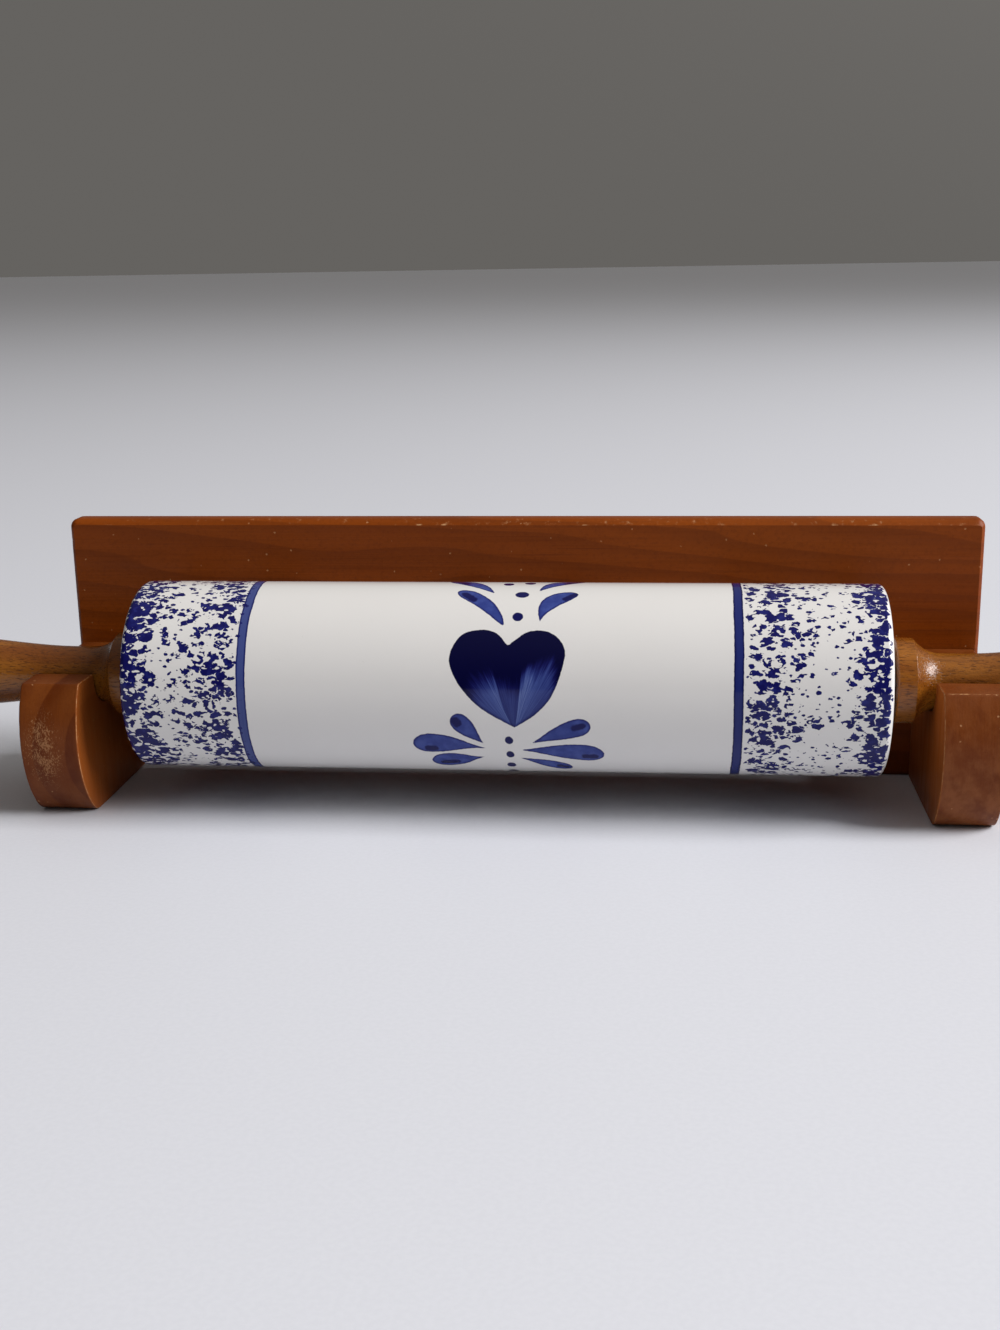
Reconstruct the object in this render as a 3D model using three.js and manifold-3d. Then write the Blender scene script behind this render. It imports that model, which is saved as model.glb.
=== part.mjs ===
// Rolling pin with holder: a hollow ceramic barrel that turns on a steel rod between two turned
// handles, and a wooden wall rack whose two brackets carry the handles' necks in open saddles.
// Millimetres, +Z up, the pin along X, the front at -Y, the origin at the middle of the footprint.

import * as THREE from 'three';
import { mergeVertices } from 'three/addons/utils/BufferGeometryUtils.js';
import Module from 'manifold-3d';

const wasm = await Module();
wasm.setup();

// Clearance between pieces that touch or turn on each other
const FIT_GAP = 0.3;

// Barrel, slip-cast and hollow, with a bored wall at each end
const BARREL_LENGTH = 250;
const BARREL_RADIUS = 32;
const BARREL_WALL = 5.5;
const BARREL_END_WALL = 7;
const BARREL_RIM_ROUND = 2.2;
const BARREL_CAVITY_ROUND = 4;

// Rod that ties the two handles together
const ROD_RADIUS = 3.2;
const ROD_GRIP_DEPTH = 45;
const ROD_END_CHAMFER = 0.8;

// Flanged bearings pressed into the barrel's end walls
const BUSH_SPIGOT_RADIUS = 7.5;
const BUSH_SPIGOT_LENGTH = 9;
const BUSH_FLANGE_RADIUS = 11;
const BUSH_FLANGE_THICKNESS = 1.4;

// Washers between the bearings and the handles
const WASHER_RADIUS = 9;
const WASHER_THICKNESS = 1.2;

// Handles, turned: collar, cove, neck, swelling grip and rounded end, each with its length
const COLLAR_RADIUS = 14.2;
const COLLAR_LENGTH = 6.2;
const COLLAR_EDGE = 0.6;
const COVE_LENGTH = 9.6;
const NECK_RADIUS = 9.1;
const NECK_LENGTH = 6.2;
const GRIP_RADIUS = 12.6;
const GRIP_SWELL_LENGTH = 50;
const GRIP_END_LENGTH = 17;

// Where the pin lies: above the table, in front of the board, and between the brackets
const BARREL_LIFT = 12.9;
const BARREL_TO_BOARD = 3.6;
const COLLAR_TO_BRACKET = 6.4;

// Back board, with its front edges eased all round
const BOARD_HEIGHT = 93;
const BOARD_THICKNESS = 10;
const BOARD_EASE = 2.2;
const BOARD_FACE_CORNER = 0.8;
const BOARD_OVERHANG = 2;

// Brackets, with an open saddle for the neck and a bowed front
const BRACKET_THICKNESS = 20;
const BRACKET_EDGE = 0.8;
const SADDLE_SIDE_CLEARANCE = 1.2;
const LIP_RISE = 2.4;
const LIP_DEPTH = 14;
const FRONT_RADIUS = 37;
const TOE_REACH = 17;

// Countersunk screws through the board into the brackets
const SCREW_LENGTH = 30;
const SCREW_RADIUS = 2;
const SCREW_HEAD_RADIUS = 4;
const SCREW_HEAD_HEIGHT = 2.2;
const SCREW_TIP_LENGTH = 5;
const SCREW_RECESS = 0.3;
const SCREW_LOW = 12;
const SCREW_HIGH = 32;

// Saw-tooth hangers on the back, and the round-headed pins that hold them
const HANGER_SPACING = 190;
const HANGER_DROP = 12;
const HANGER_HEIGHT = 9;
const HANGER_THICKNESS = 0.9;
const HANGER_RISE = 1.3;
const HANGER_TAB_LENGTH = 8;
const HANGER_JOGGLE = 2;
const TOOTH_COUNT = 9;
const TOOTH_PITCH = 2.7;
const TOOTH_DEPTH = 1.8;
const PIN_LENGTH = 7;
const PIN_RADIUS = 0.8;
const PIN_HEAD_RADIUS = 2.2;
const PIN_HEAD_HEIGHT = 1;
const PIN_TIP_LENGTH = 2;

// Facets
const BARREL_SIDES = 64;
const HANDLE_SIDES = 36;
const SMALL_SIDES = 24;
const PIN_SIDES = 12;
const ROUND_STEPS = 2;
const TURNING_STEPS = 7;
const OUTLINE_STEPS = 8;
const EDGE_STEPS = 2;
const CUT_MARGIN = 1;

// Stack along the pin, from its middle outwards
const barrelEnd = BARREL_LENGTH / 2;
const bushStart = barrelEnd + FIT_GAP;
const washerStart = bushStart + BUSH_FLANGE_THICKNESS + FIT_GAP;
const collarStart = washerStart + WASHER_THICKNESS + FIT_GAP;
const bracketInner = collarStart + COLLAR_LENGTH + COLLAR_TO_BRACKET;
const bracketOuter = bracketInner + BRACKET_THICKNESS;
const bracketMiddle = bracketInner + BRACKET_THICKNESS / 2;
const boardHalfWidth = bracketOuter + BOARD_OVERHANG;
const rodHalfLength = collarStart + ROD_GRIP_DEPTH;

// Places across the pin, counted from its axis, and heights above the table
const boardFront = BARREL_RADIUS + BARREL_TO_BOARD;
const boardBack = boardFront + BOARD_THICKNESS;
const bracketBack = boardFront - FIT_GAP;
const axisHeight = BARREL_RADIUS + BARREL_LIFT;
const bracketTop = axisHeight + LIP_RISE;
const screwHead = boardBack - SCREW_RECESS;
const hangerBase = boardBack + FIT_GAP;

// Hanger lengths, from the teeth outwards
const toothedHalf = TOOTH_COUNT * TOOTH_PITCH / 2;
const tabStart = toothedHalf + HANGER_JOGGLE;
const hangerHalf = tabStart + HANGER_TAB_LENGTH;
const pinOffset = tabStart + HANGER_TAB_LENGTH / 2;
const pinSeat = HANGER_THICKNESS + FIT_GAP;
const hangerStandOff = Math.max(HANGER_RISE + HANGER_THICKNESS, pinSeat + PIN_HEAD_HEIGHT);

const SIDES = [{ name: 'left', sign: -1 }, { name: 'right', sign: 1 }];

// The ways that a drawn outline is turned into the part's own axes
const DRAWN_ON_X_Z = new THREE.Matrix4().makeBasis(
  new THREE.Vector3(1, 0, 0), new THREE.Vector3(0, 0, 1), new THREE.Vector3(0, -1, 0));
const DRAWN_ON_Y_Z = new THREE.Matrix4().makeBasis(
  new THREE.Vector3(0, 1, 0), new THREE.Vector3(0, 0, 1), new THREE.Vector3(1, 0, 0));

// Finishes
const FINISHES = {
  rackWood: { color: 0x6b3014, roughness: 0.42, metalness: 0 },
  handleWood: { color: 0x8a5a1e, roughness: 0.35, metalness: 0 },
  glaze: { color: 0xe9e6e0, roughness: 0.12, metalness: 0 },
  steel: { color: 0xa9abad, roughness: 0.4, metalness: 1 },
  brassed: { color: 0xb08d45, roughness: 0.45, metalness: 1 },
  nylon: { color: 0xe6e2d4, roughness: 0.5, metalness: 0 },
};

// One closed skin: corners shared, empty triangles on the axis of a turning dropped
function sealed(geometry) {
  const bare = geometry.clone();
  bare.deleteAttribute('normal');
  bare.deleteAttribute('uv');
  const merged = mergeVertices(bare);
  const corners = merged.index.array;
  const kept = [];
  for (let i = 0; i < corners.length; i += 3) {
    const [a, b, c] = corners.slice(i, i + 3);
    const empty = a === b || b === c || c === a;
    if (!empty) kept.push(a, b, c);
  }
  merged.setIndex(kept);
  return merged;
}

function toSolid(geometry) {
  const skin = sealed(geometry);
  return new wasm.Manifold(new wasm.Mesh({
    numProp: 3,
    vertProperties: new Float32Array(skin.attributes.position.array),
    triVerts: new Uint32Array(skin.index.array),
  }));
}

// The first shape with each of the tools cut out of it
function cut(geometry, tools) {
  let solid = toSolid(geometry);
  for (const tool of tools) solid = solid.subtract(toSolid(tool));
  const mesh = solid.getMesh();
  const result = new THREE.BufferGeometry();
  result.setAttribute('position', new THREE.BufferAttribute(new Float32Array(mesh.vertProperties), 3));
  result.setIndex(new THREE.BufferAttribute(new Uint32Array(mesh.triVerts), 1));
  return result;
}

// A turning about local Y; the outline runs outwards, up the outside and back in
function turned(outline, sides) {
  return sealed(new THREE.LatheGeometry(outline, sides));
}

function points(pairs) {
  return pairs.map(([x, y]) => new THREE.Vector2(x, y));
}

function ring(innerRadius, outerRadius, from, to, sides) {
  return turned(points([[innerRadius, from], [outerRadius, from], [outerRadius, to], [innerRadius, to],
    [innerRadius, from]]), sides);
}

// A plain round tool about local Y
function drill(radius, from, to, sides) {
  return turned(points([[0, from], [radius, from], [radius, to], [0, to]]), sides);
}

function place(parent, name, geometry, finish, position, turn = 0) {
  const shaded = geometry.clone();
  shaded.computeVertexNormals();
  const mesh = new THREE.Mesh(shaded, new THREE.MeshStandardMaterial(FINISHES[finish]));
  mesh.name = name;
  mesh.position.set(...position);
  mesh.rotation.z = turn;
  parent.add(mesh);
}

// Local Y of a turning laid along the pin, pointing to the given side
function alongPin(sign) {
  return -sign * Math.PI / 2;
}

// Barrel: a closed outline of the shell, with rounded rims outside and a rounded cavity inside
function barrelGeometry() {
  const bore = BUSH_SPIGOT_RADIUS + FIT_GAP;
  const rim = barrelEnd - BARREL_RIM_ROUND;
  const rimCentre = BARREL_RADIUS - BARREL_RIM_ROUND;
  const cavityEnd = barrelEnd - BARREL_END_WALL;
  const cavity = cavityEnd - BARREL_CAVITY_ROUND;
  const cavityCentre = BARREL_RADIUS - BARREL_WALL - BARREL_CAVITY_ROUND;
  const quarter = Math.PI / 2;
  const path = new THREE.Path();
  path.moveTo(bore, -barrelEnd);
  path.lineTo(rimCentre, -barrelEnd);
  path.absarc(rimCentre, -rim, BARREL_RIM_ROUND, -quarter, 0, false);
  path.absarc(rimCentre, rim, BARREL_RIM_ROUND, 0, quarter, false);
  path.lineTo(bore, barrelEnd);
  path.lineTo(bore, cavityEnd);
  path.lineTo(cavityCentre, cavityEnd);
  path.absarc(cavityCentre, cavity, BARREL_CAVITY_ROUND, quarter, 0, true);
  path.absarc(cavityCentre, -cavity, BARREL_CAVITY_ROUND, 0, -quarter, true);
  path.lineTo(bore, -cavityEnd);
  path.lineTo(bore, -barrelEnd);
  return turned(path.getPoints(ROUND_STEPS), BARREL_SIDES);
}

// Handle outline from the bottom of the rod's hole, round the collar and out to the rounded end
function handleOutline() {
  const hole = ROD_RADIUS + FIT_GAP;
  const holeEnd = ROD_GRIP_DEPTH + FIT_GAP;
  const coveEnd = COLLAR_LENGTH + COVE_LENGTH;
  const swellStart = coveEnd + NECK_LENGTH;
  const belly = swellStart + GRIP_SWELL_LENGTH;
  const tip = belly + GRIP_END_LENGTH;
  const coveSteep = COLLAR_LENGTH + COVE_LENGTH / 5;
  const coveFlat = COLLAR_LENGTH + COVE_LENGTH / 2;
  const swellThird = GRIP_SWELL_LENGTH / 3;
  const path = new THREE.Path();
  path.moveTo(0, holeEnd);
  path.lineTo(hole, holeEnd);
  path.lineTo(hole, 0);
  path.lineTo(COLLAR_RADIUS - COLLAR_EDGE, 0);
  path.lineTo(COLLAR_RADIUS, COLLAR_EDGE);
  path.lineTo(COLLAR_RADIUS, COLLAR_LENGTH);
  path.bezierCurveTo((COLLAR_RADIUS + NECK_RADIUS) / 2, coveSteep, NECK_RADIUS, coveFlat, NECK_RADIUS, coveEnd);
  path.lineTo(NECK_RADIUS, swellStart);
  path.bezierCurveTo(NECK_RADIUS, swellStart + swellThird, GRIP_RADIUS, belly - swellThird, GRIP_RADIUS, belly);
  path.bezierCurveTo(GRIP_RADIUS, belly + GRIP_END_LENGTH / 2, GRIP_RADIUS * 2 / 3, tip, 0, tip);
  return path.getPoints(TURNING_STEPS);
}

// Largest radius of an outline between two places along it
function largestRadius(outline, from, to) {
  let largest = 0;
  for (let i = 1; i < outline.length; i += 1) {
    const a = outline[i - 1];
    const b = outline[i];
    const rise = b.y - a.y;
    if (rise <= 0) continue;
    const start = THREE.MathUtils.clamp((from - a.y) / rise, 0, 1);
    const end = THREE.MathUtils.clamp((to - a.y) / rise, 0, 1);
    if (end <= start) continue;
    const radii = [start, end].map((t) => THREE.MathUtils.lerp(a.x, b.x, t));
    largest = Math.max(largest, ...radii);
  }
  return largest;
}

function bushGeometry() {
  const bore = ROD_RADIUS + FIT_GAP;
  return turned(points([[bore, -BUSH_SPIGOT_LENGTH], [BUSH_SPIGOT_RADIUS, -BUSH_SPIGOT_LENGTH],
    [BUSH_SPIGOT_RADIUS, 0], [BUSH_FLANGE_RADIUS, 0], [BUSH_FLANGE_RADIUS, BUSH_FLANGE_THICKNESS],
    [bore, BUSH_FLANGE_THICKNESS], [bore, -BUSH_SPIGOT_LENGTH]]), SMALL_SIDES);
}

function rodGeometry() {
  const shoulder = rodHalfLength - ROD_END_CHAMFER;
  const endRadius = ROD_RADIUS - ROD_END_CHAMFER;
  return turned(points([[0, -rodHalfLength], [endRadius, -rodHalfLength], [ROD_RADIUS, -shoulder],
    [ROD_RADIUS, shoulder], [endRadius, rodHalfLength], [0, rodHalfLength]]), SMALL_SIDES);
}

// Centre of the bow: the arc runs from the lip's front edge down to the toe and bulges forwards
function bowCentre(lipFront) {
  const chord = new THREE.Vector2(-TOE_REACH - lipFront, -bracketTop);
  const half = chord.length() / 2;
  const reach = Math.sqrt(FRONT_RADIUS ** 2 - half ** 2);
  const along = chord.clone().normalize();
  return new THREE.Vector2(
    lipFront + chord.x / 2 - along.y * reach,
    bracketTop + chord.y / 2 + along.x * reach);
}

// The saddle is as deep and wide as the thickest stretch of handle inside the bracket needs
const outline = handleOutline();
const seatRadius = largestRadius(outline, bracketInner - collarStart, bracketOuter - collarStart);
const saddleRadius = seatRadius + SADDLE_SIDE_CLEARANCE;
const saddleCentre = axisHeight - seatRadius - FIT_GAP + saddleRadius;
const lipFront = -saddleRadius - LIP_DEPTH;
const bow = bowCentre(lipFront);
const bowFront = bow.x - FRONT_RADIUS;

// Bracket: the side view drawn on Y and Z, carried along X, its edges broken
function bracketGeometry() {
  const bowStart = Math.atan2(bracketTop - bow.y, lipFront - bow.x);
  const bowEnd = Math.atan2(-bow.y, -TOE_REACH - bow.x) + 2 * Math.PI;
  const shape = new THREE.Shape();
  shape.moveTo(bracketBack, 0);
  shape.lineTo(bracketBack, bracketTop);
  shape.lineTo(saddleRadius, bracketTop);
  shape.absarc(0, saddleCentre, saddleRadius, 0, Math.PI, true);
  shape.lineTo(-saddleRadius, bracketTop);
  shape.lineTo(lipFront, bracketTop);
  shape.absarc(bow.x, bow.y, FRONT_RADIUS, bowStart, bowEnd, false);
  shape.lineTo(bracketBack, 0);
  const body = new THREE.ExtrudeGeometry(shape, {
    depth: BRACKET_THICKNESS - 2 * BRACKET_EDGE,
    curveSegments: OUTLINE_STEPS,
    bevelThickness: BRACKET_EDGE,
    bevelSize: BRACKET_EDGE,
    bevelOffset: -BRACKET_EDGE,
    bevelSegments: EDGE_STEPS,
  });
  body.translate(0, 0, BRACKET_EDGE - BRACKET_THICKNESS / 2);
  body.applyMatrix4(DRAWN_ON_Y_Z);
  const pilots = [SCREW_LOW, SCREW_HIGH].map((height) => drill(
    SCREW_RADIUS + FIT_GAP, screwHead - SCREW_LENGTH - FIT_GAP, boardBack, SMALL_SIDES)
    .translate(0, 0, height));
  return cut(body, pilots);
}

// Screw outline, or the countersunk hole for it when a gap is given
function screwOutline(gap) {
  const radius = SCREW_RADIUS + gap;
  const head = SCREW_HEAD_RADIUS + gap;
  const top = gap > 0 ? SCREW_RECESS + CUT_MARGIN : 0;
  return points([[0, -SCREW_LENGTH], [radius, SCREW_TIP_LENGTH - SCREW_LENGTH], [radius, -SCREW_HEAD_HEIGHT],
    [head, 0], [head, top], [0, top]]);
}

function hangerPinOutline() {
  return points([[0, -PIN_LENGTH], [PIN_RADIUS, PIN_TIP_LENGTH - PIN_LENGTH], [PIN_RADIUS, 0],
    [PIN_HEAD_RADIUS, 0], [PIN_HEAD_RADIUS, PIN_HEAD_HEIGHT / 3], [PIN_HEAD_RADIUS * 2 / 3, PIN_HEAD_HEIGHT * 5 / 6],
    [0, PIN_HEAD_HEIGHT]]);
}

// Middle places of the hangers' pins along X, counted from the board's middle
function hangerPinPlaces() {
  return SIDES.flatMap((side) => SIDES.map((end) => side.sign * HANGER_SPACING / 2 + end.sign * pinOffset));
}

const hangerTop = BOARD_HEIGHT - HANGER_DROP;
const hangerBottom = hangerTop - HANGER_HEIGHT;
const pinHeight = (hangerTop + hangerBottom) / 2;
const pinHead = hangerBase + pinSeat;

// Board: a front view with small corners, eased in front and cut flat at the back, then drilled
function boardGeometry() {
  const corner = BOARD_EASE + BOARD_FACE_CORNER;
  const quarter = Math.PI / 2;
  const shape = new THREE.Shape();
  shape.absarc(boardHalfWidth - corner, corner, corner, -quarter, 0, false);
  shape.absarc(boardHalfWidth - corner, BOARD_HEIGHT - corner, corner, 0, quarter, false);
  shape.absarc(corner - boardHalfWidth, BOARD_HEIGHT - corner, corner, quarter, 2 * quarter, false);
  shape.absarc(corner - boardHalfWidth, corner, corner, 2 * quarter, 3 * quarter, false);
  const body = new THREE.ExtrudeGeometry(shape, {
    depth: BOARD_THICKNESS - BOARD_EASE,
    curveSegments: ROUND_STEPS,
    bevelThickness: BOARD_EASE,
    bevelSize: BOARD_EASE,
    bevelOffset: -BOARD_EASE,
    bevelSegments: EDGE_STEPS,
  });
  body.applyMatrix4(DRAWN_ON_X_Z);
  body.translate(0, boardBack, 0);
  const spare = BOARD_EASE + CUT_MARGIN;
  const backTrim = new THREE.BoxGeometry(2 * (boardHalfWidth + CUT_MARGIN), spare, 2 * (BOARD_HEIGHT + CUT_MARGIN));
  backTrim.translate(0, boardBack + spare / 2, 0);
  const screwHoles = SIDES.flatMap((side) => [SCREW_LOW, SCREW_HIGH].map((height) => turned(
    screwOutline(FIT_GAP), SMALL_SIDES).translate(side.sign * bracketMiddle, screwHead, height)));
  const pinHoles = hangerPinPlaces().map((x) => drill(
    PIN_RADIUS + FIT_GAP, pinHead - PIN_LENGTH - FIT_GAP, boardBack + CUT_MARGIN, PIN_SIDES)
    .translate(x, 0, pinHeight));
  return cut(body, [backTrim, ...screwHoles, ...pinHoles]);
}

// Hanger: a joggled strip seen from above, carried up Z, with a row of teeth cut in its lower edge
function hangerGeometry() {
  const step = HANGER_THICKNESS;
  const shape = new THREE.Shape(points([[-hangerHalf, 0], [-tabStart, 0], [-toothedHalf, HANGER_RISE],
    [toothedHalf, HANGER_RISE], [tabStart, 0], [hangerHalf, 0], [hangerHalf, step], [tabStart, step],
    [toothedHalf, HANGER_RISE + step], [-toothedHalf, HANGER_RISE + step], [-tabStart, step],
    [-hangerHalf, step]]));
  const strip = new THREE.ExtrudeGeometry(shape, { depth: HANGER_HEIGHT, bevelEnabled: false });
  const zigzag = new THREE.Shape();
  zigzag.moveTo(toothedHalf, -CUT_MARGIN);
  zigzag.lineTo(toothedHalf, 0);
  for (let i = TOOTH_COUNT - 1; i >= 0; i -= 1) {
    zigzag.lineTo((i + 0.5) * TOOTH_PITCH - toothedHalf, TOOTH_DEPTH);
    zigzag.lineTo(i * TOOTH_PITCH - toothedHalf, 0);
  }
  zigzag.lineTo(-toothedHalf, -CUT_MARGIN);
  const teeth = new THREE.ExtrudeGeometry(zigzag, {
    depth: HANGER_RISE + HANGER_THICKNESS + 2 * CUT_MARGIN,
    bevelEnabled: false,
  });
  teeth.applyMatrix4(DRAWN_ON_X_Z);
  teeth.translate(0, HANGER_RISE + HANGER_THICKNESS + CUT_MARGIN, 0);
  const holes = SIDES.map((end) => drill(
    PIN_RADIUS + FIT_GAP, -CUT_MARGIN, HANGER_THICKNESS + CUT_MARGIN, PIN_SIDES)
    .translate(end.sign * pinOffset, 0, HANGER_HEIGHT / 2));
  return cut(strip, [teeth, ...holes]);
}

// Everything is moved back or forth so that the origin is under the middle of the whole
const front = Math.min(-BARREL_RADIUS, bowFront);
const back = hangerBase + hangerStandOff;
const middle = (front + back) / 2;

const holder = new THREE.Group();
holder.position.y = -middle;
place(holder, 'back_board', boardGeometry(), 'rackWood', [0, 0, 0]);
for (const { name, sign } of SIDES) {
  place(holder, `${name}_bracket`, bracketGeometry(), 'rackWood', [sign * bracketMiddle, 0, 0]);
  for (const [level, height] of [['lower', SCREW_LOW], ['upper', SCREW_HIGH]]) {
    place(holder, `${name}_${level}_screw`, turned(screwOutline(0), SMALL_SIDES), 'steel',
      [sign * bracketMiddle, screwHead, height]);
  }
  const hangerX = sign * HANGER_SPACING / 2;
  place(holder, `${name}_hanger`, hangerGeometry(), 'brassed', [hangerX, hangerBase, hangerBottom]);
  for (const [end, offset] of [['inner', -sign * pinOffset], ['outer', sign * pinOffset]]) {
    place(holder, `${name}_hanger_${end}_pin`, turned(hangerPinOutline(), PIN_SIDES), 'brassed',
      [hangerX + offset, pinHead, pinHeight]);
  }
}

const pin = new THREE.Group();
pin.position.set(0, -middle, axisHeight);
place(pin, 'barrel', barrelGeometry(), 'glaze', [0, 0, 0], alongPin(1));
place(pin, 'tie_rod', rodGeometry(), 'steel', [0, 0, 0], alongPin(1));
for (const { name, sign } of SIDES) {
  place(pin, `${name}_bush`, bushGeometry(), 'nylon', [sign * bushStart, 0, 0], alongPin(sign));
  place(pin, `${name}_washer`, ring(ROD_RADIUS + FIT_GAP, WASHER_RADIUS, 0, WASHER_THICKNESS, SMALL_SIDES),
    'steel', [sign * washerStart, 0, 0], alongPin(sign));
  place(pin, `${name}_handle`, turned(outline, HANDLE_SIDES), 'handleWood', [sign * collarStart, 0, 0],
    alongPin(sign));
}

const rollingPin = new THREE.Group();
rollingPin.name = 'rolling_pin_with_holder';
rollingPin.add(holder, pin);

export default rollingPin;
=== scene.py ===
"""Looks of a rolling pin and its wooden wall holder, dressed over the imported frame.

The barrel, handles and running gear of the pin, and the board, brackets, screws and hangers of the
holder, are worked out as fine surfaces in the frame's own axes. Lengths are in millimetres until a
surface becomes a piece, which is in metres.
"""

import logging
import math
from dataclasses import dataclass, field, replace
from enum import Enum

import bpy
import numpy as np
from mathutils import Matrix, Vector


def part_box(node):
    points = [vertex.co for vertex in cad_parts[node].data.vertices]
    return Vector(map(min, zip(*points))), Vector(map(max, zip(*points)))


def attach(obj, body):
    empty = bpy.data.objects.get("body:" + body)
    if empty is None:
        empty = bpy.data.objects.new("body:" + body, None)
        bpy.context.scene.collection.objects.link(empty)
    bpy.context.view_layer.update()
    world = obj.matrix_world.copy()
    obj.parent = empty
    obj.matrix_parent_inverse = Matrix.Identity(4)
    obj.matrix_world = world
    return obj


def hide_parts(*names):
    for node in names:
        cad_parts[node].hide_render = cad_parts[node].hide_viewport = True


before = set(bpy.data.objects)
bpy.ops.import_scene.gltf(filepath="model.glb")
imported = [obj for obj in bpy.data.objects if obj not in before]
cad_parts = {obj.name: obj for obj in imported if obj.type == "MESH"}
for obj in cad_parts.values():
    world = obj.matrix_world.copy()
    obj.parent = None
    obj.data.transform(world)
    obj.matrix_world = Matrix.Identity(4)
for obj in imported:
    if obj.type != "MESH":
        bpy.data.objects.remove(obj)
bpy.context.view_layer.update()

LOG = logging.getLogger("rolling_pin")
MM = 0.001
QUARTER = math.pi / 2
SHARP_ANGLE = math.radians(32)
ON_AXIS = 1e-9
Spot = tuple[float, float]
Colour = tuple[float, float, float]
Point = tuple[float, float, float]
Scale = tuple[tuple[float, object], ...]
Socket = bpy.types.NodeSocket
Material = bpy.types.Material


class Body(Enum):
    """Bodies of the frame that a piece can ride on."""

    HOLDER = "holder"
    SPINDLE = "spindle"
    ROLLER = "roller"


class Slot(Enum):
    """Material slots of the record."""

    HOLDER_WOOD = "holder_wood"
    HANDLE_WOOD = "handle_wood"
    GLAZE = "glaze"
    STEEL = "steel"
    BRASSED = "brassed_steel"
    NYLON = "nylon"


class Side(Enum):
    """The two ends of the pin, with the sign of their place along X."""

    LEFT = -1
    RIGHT = 1

    @property
    def label(self) -> str:
        """Word that starts the names of this end's pieces."""
        return self.name.lower()


# Numbers along lines and curves


def bezier(corners: list[Spot], steps: int) -> np.ndarray:
    """Points of a cubic curve: each corner weighted by its Bernstein polynomial.

    Args:
        corners: The four control points.
        steps: Number of points, both ends included.

    Returns:
        Array of shape (steps, 2).
    """
    t = np.linspace(0.0, 1.0, steps)[:, None]
    p0, p1, p2, p3 = np.array(corners, float)
    return (1 - t) ** 3 * p0 + 3 * t * (1 - t) ** 2 * p1 + 3 * t ** 2 * (1 - t) * p2 + t ** 3 * p3


def arc(centre: Spot, radius: float, start: float, end: float, steps: int) -> np.ndarray:
    """Points of a circular arc: centre plus radius times (cosine, sine) of evenly spaced angles.

    Args:
        centre: Middle of the circle.
        radius: Its radius.
        start: First angle, in radians.
        end: Last angle, in radians.
        steps: Number of points, both ends included.

    Returns:
        Array of shape (steps, 2).
    """
    angle = np.linspace(start, end, steps)
    return np.array(centre) + radius * np.column_stack([np.cos(angle), np.sin(angle)])


def through(anchors: tuple[Spot, ...], steps: int) -> np.ndarray:
    """Open curve through anchors: cubic stretches whose slope at an anchor joins its two neighbours.

    Args:
        anchors: Places that the curve passes.
        steps: Points on each stretch.

    Returns:
        Array of points, the last anchor included.
    """
    p = np.array(anchors, float)
    slope = np.gradient(p, axis=0)
    t = np.linspace(0.0, 1.0, steps, endpoint=False)[None, :, None]
    a, b, u, v = p[:-1, None], p[1:, None], slope[:-1, None], slope[1:, None]
    curve = ((2 * t ** 3 - 3 * t ** 2 + 1) * a + (t ** 3 - 2 * t ** 2 + t) * u
             + (3 * t ** 2 - 2 * t ** 3) * b + (t ** 3 - t ** 2) * v)
    return np.vstack([curve.reshape(-1, 2), p[-1:]])


def filleted(corner: Spot, before: Spot, after: Spot, radius: float, steps: int = 6) -> np.ndarray:
    """Rounded corner: an arc that touches both edges, its centre on the line that halves the corner.

    Args:
        corner: The sharp corner.
        before: A point on the edge that leads to it.
        after: A point on the edge that leaves it.
        radius: Radius of the round.
        steps: Points on the round.

    Returns:
        Array of shape (steps, 2), from the first edge to the second.
    """
    c = np.array(corner, float)
    u = np.array(before, float) - c
    w = np.array(after, float) - c
    u, w = u / np.linalg.norm(u), w / np.linalg.norm(w)
    half = math.acos(float(np.clip(u @ w, -1, 1))) / 2
    middle = c + (u + w) / np.linalg.norm(u + w) * radius / math.sin(half)
    reach = radius / math.tan(half)
    first, last = c + u * reach - middle, c + w * reach - middle
    start = math.atan2(first[1], first[0])
    turn = (math.atan2(last[1], last[0]) - start + math.pi) % (2 * math.pi) - math.pi
    return arc(tuple(middle), radius, start, start + turn, steps)


def evened(points: np.ndarray, spacing: float) -> np.ndarray:
    """Closed outline walked at an even spacing along its own length.

    Args:
        points: Corners of the closed outline, the first not repeated.
        spacing: Distance between new points.

    Returns:
        Array of new points, the first not repeated.
    """
    ring = np.vstack([points, points[:1]])
    run = np.concatenate([[0.0], np.cumsum(np.linalg.norm(np.diff(ring, axis=0), axis=1))])
    count = int(round(run[-1] / spacing))
    at = np.linspace(0.0, run[-1], count, endpoint=False)
    return np.column_stack([np.interp(at, run, ring[:, k]) for k in (0, 1)])


def inward(outline: np.ndarray) -> np.ndarray:
    """Unit normals into an anticlockwise outline: the slope across two neighbours, turned left.

    Args:
        outline: Closed outline, shape (n, 2).

    Returns:
        Array of shape (n, 2).
    """
    slope = np.roll(outline, -1, axis=0) - np.roll(outline, 1, axis=0)
    slope /= np.linalg.norm(slope, axis=1, keepdims=True)
    return np.column_stack([-slope[:, 1], slope[:, 0]])


def wander(count: int, knots: int, rng: np.random.Generator) -> np.ndarray:
    """Closed wandering line: random knots joined by half waves of the cosine.

    Args:
        count: Number of samples round the line.
        knots: Number of random knots.
        rng: Seeded source of the knots.

    Returns:
        Array of values between -1 and 1.
    """
    knot = rng.uniform(-1, 1, knots)
    at = np.arange(count) * knots / count
    low = at.astype(int)
    ease = (1 - np.cos(np.pi * (at - low))) / 2
    return knot[low % knots] * (1 - ease) + knot[(low + 1) % knots] * ease


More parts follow.
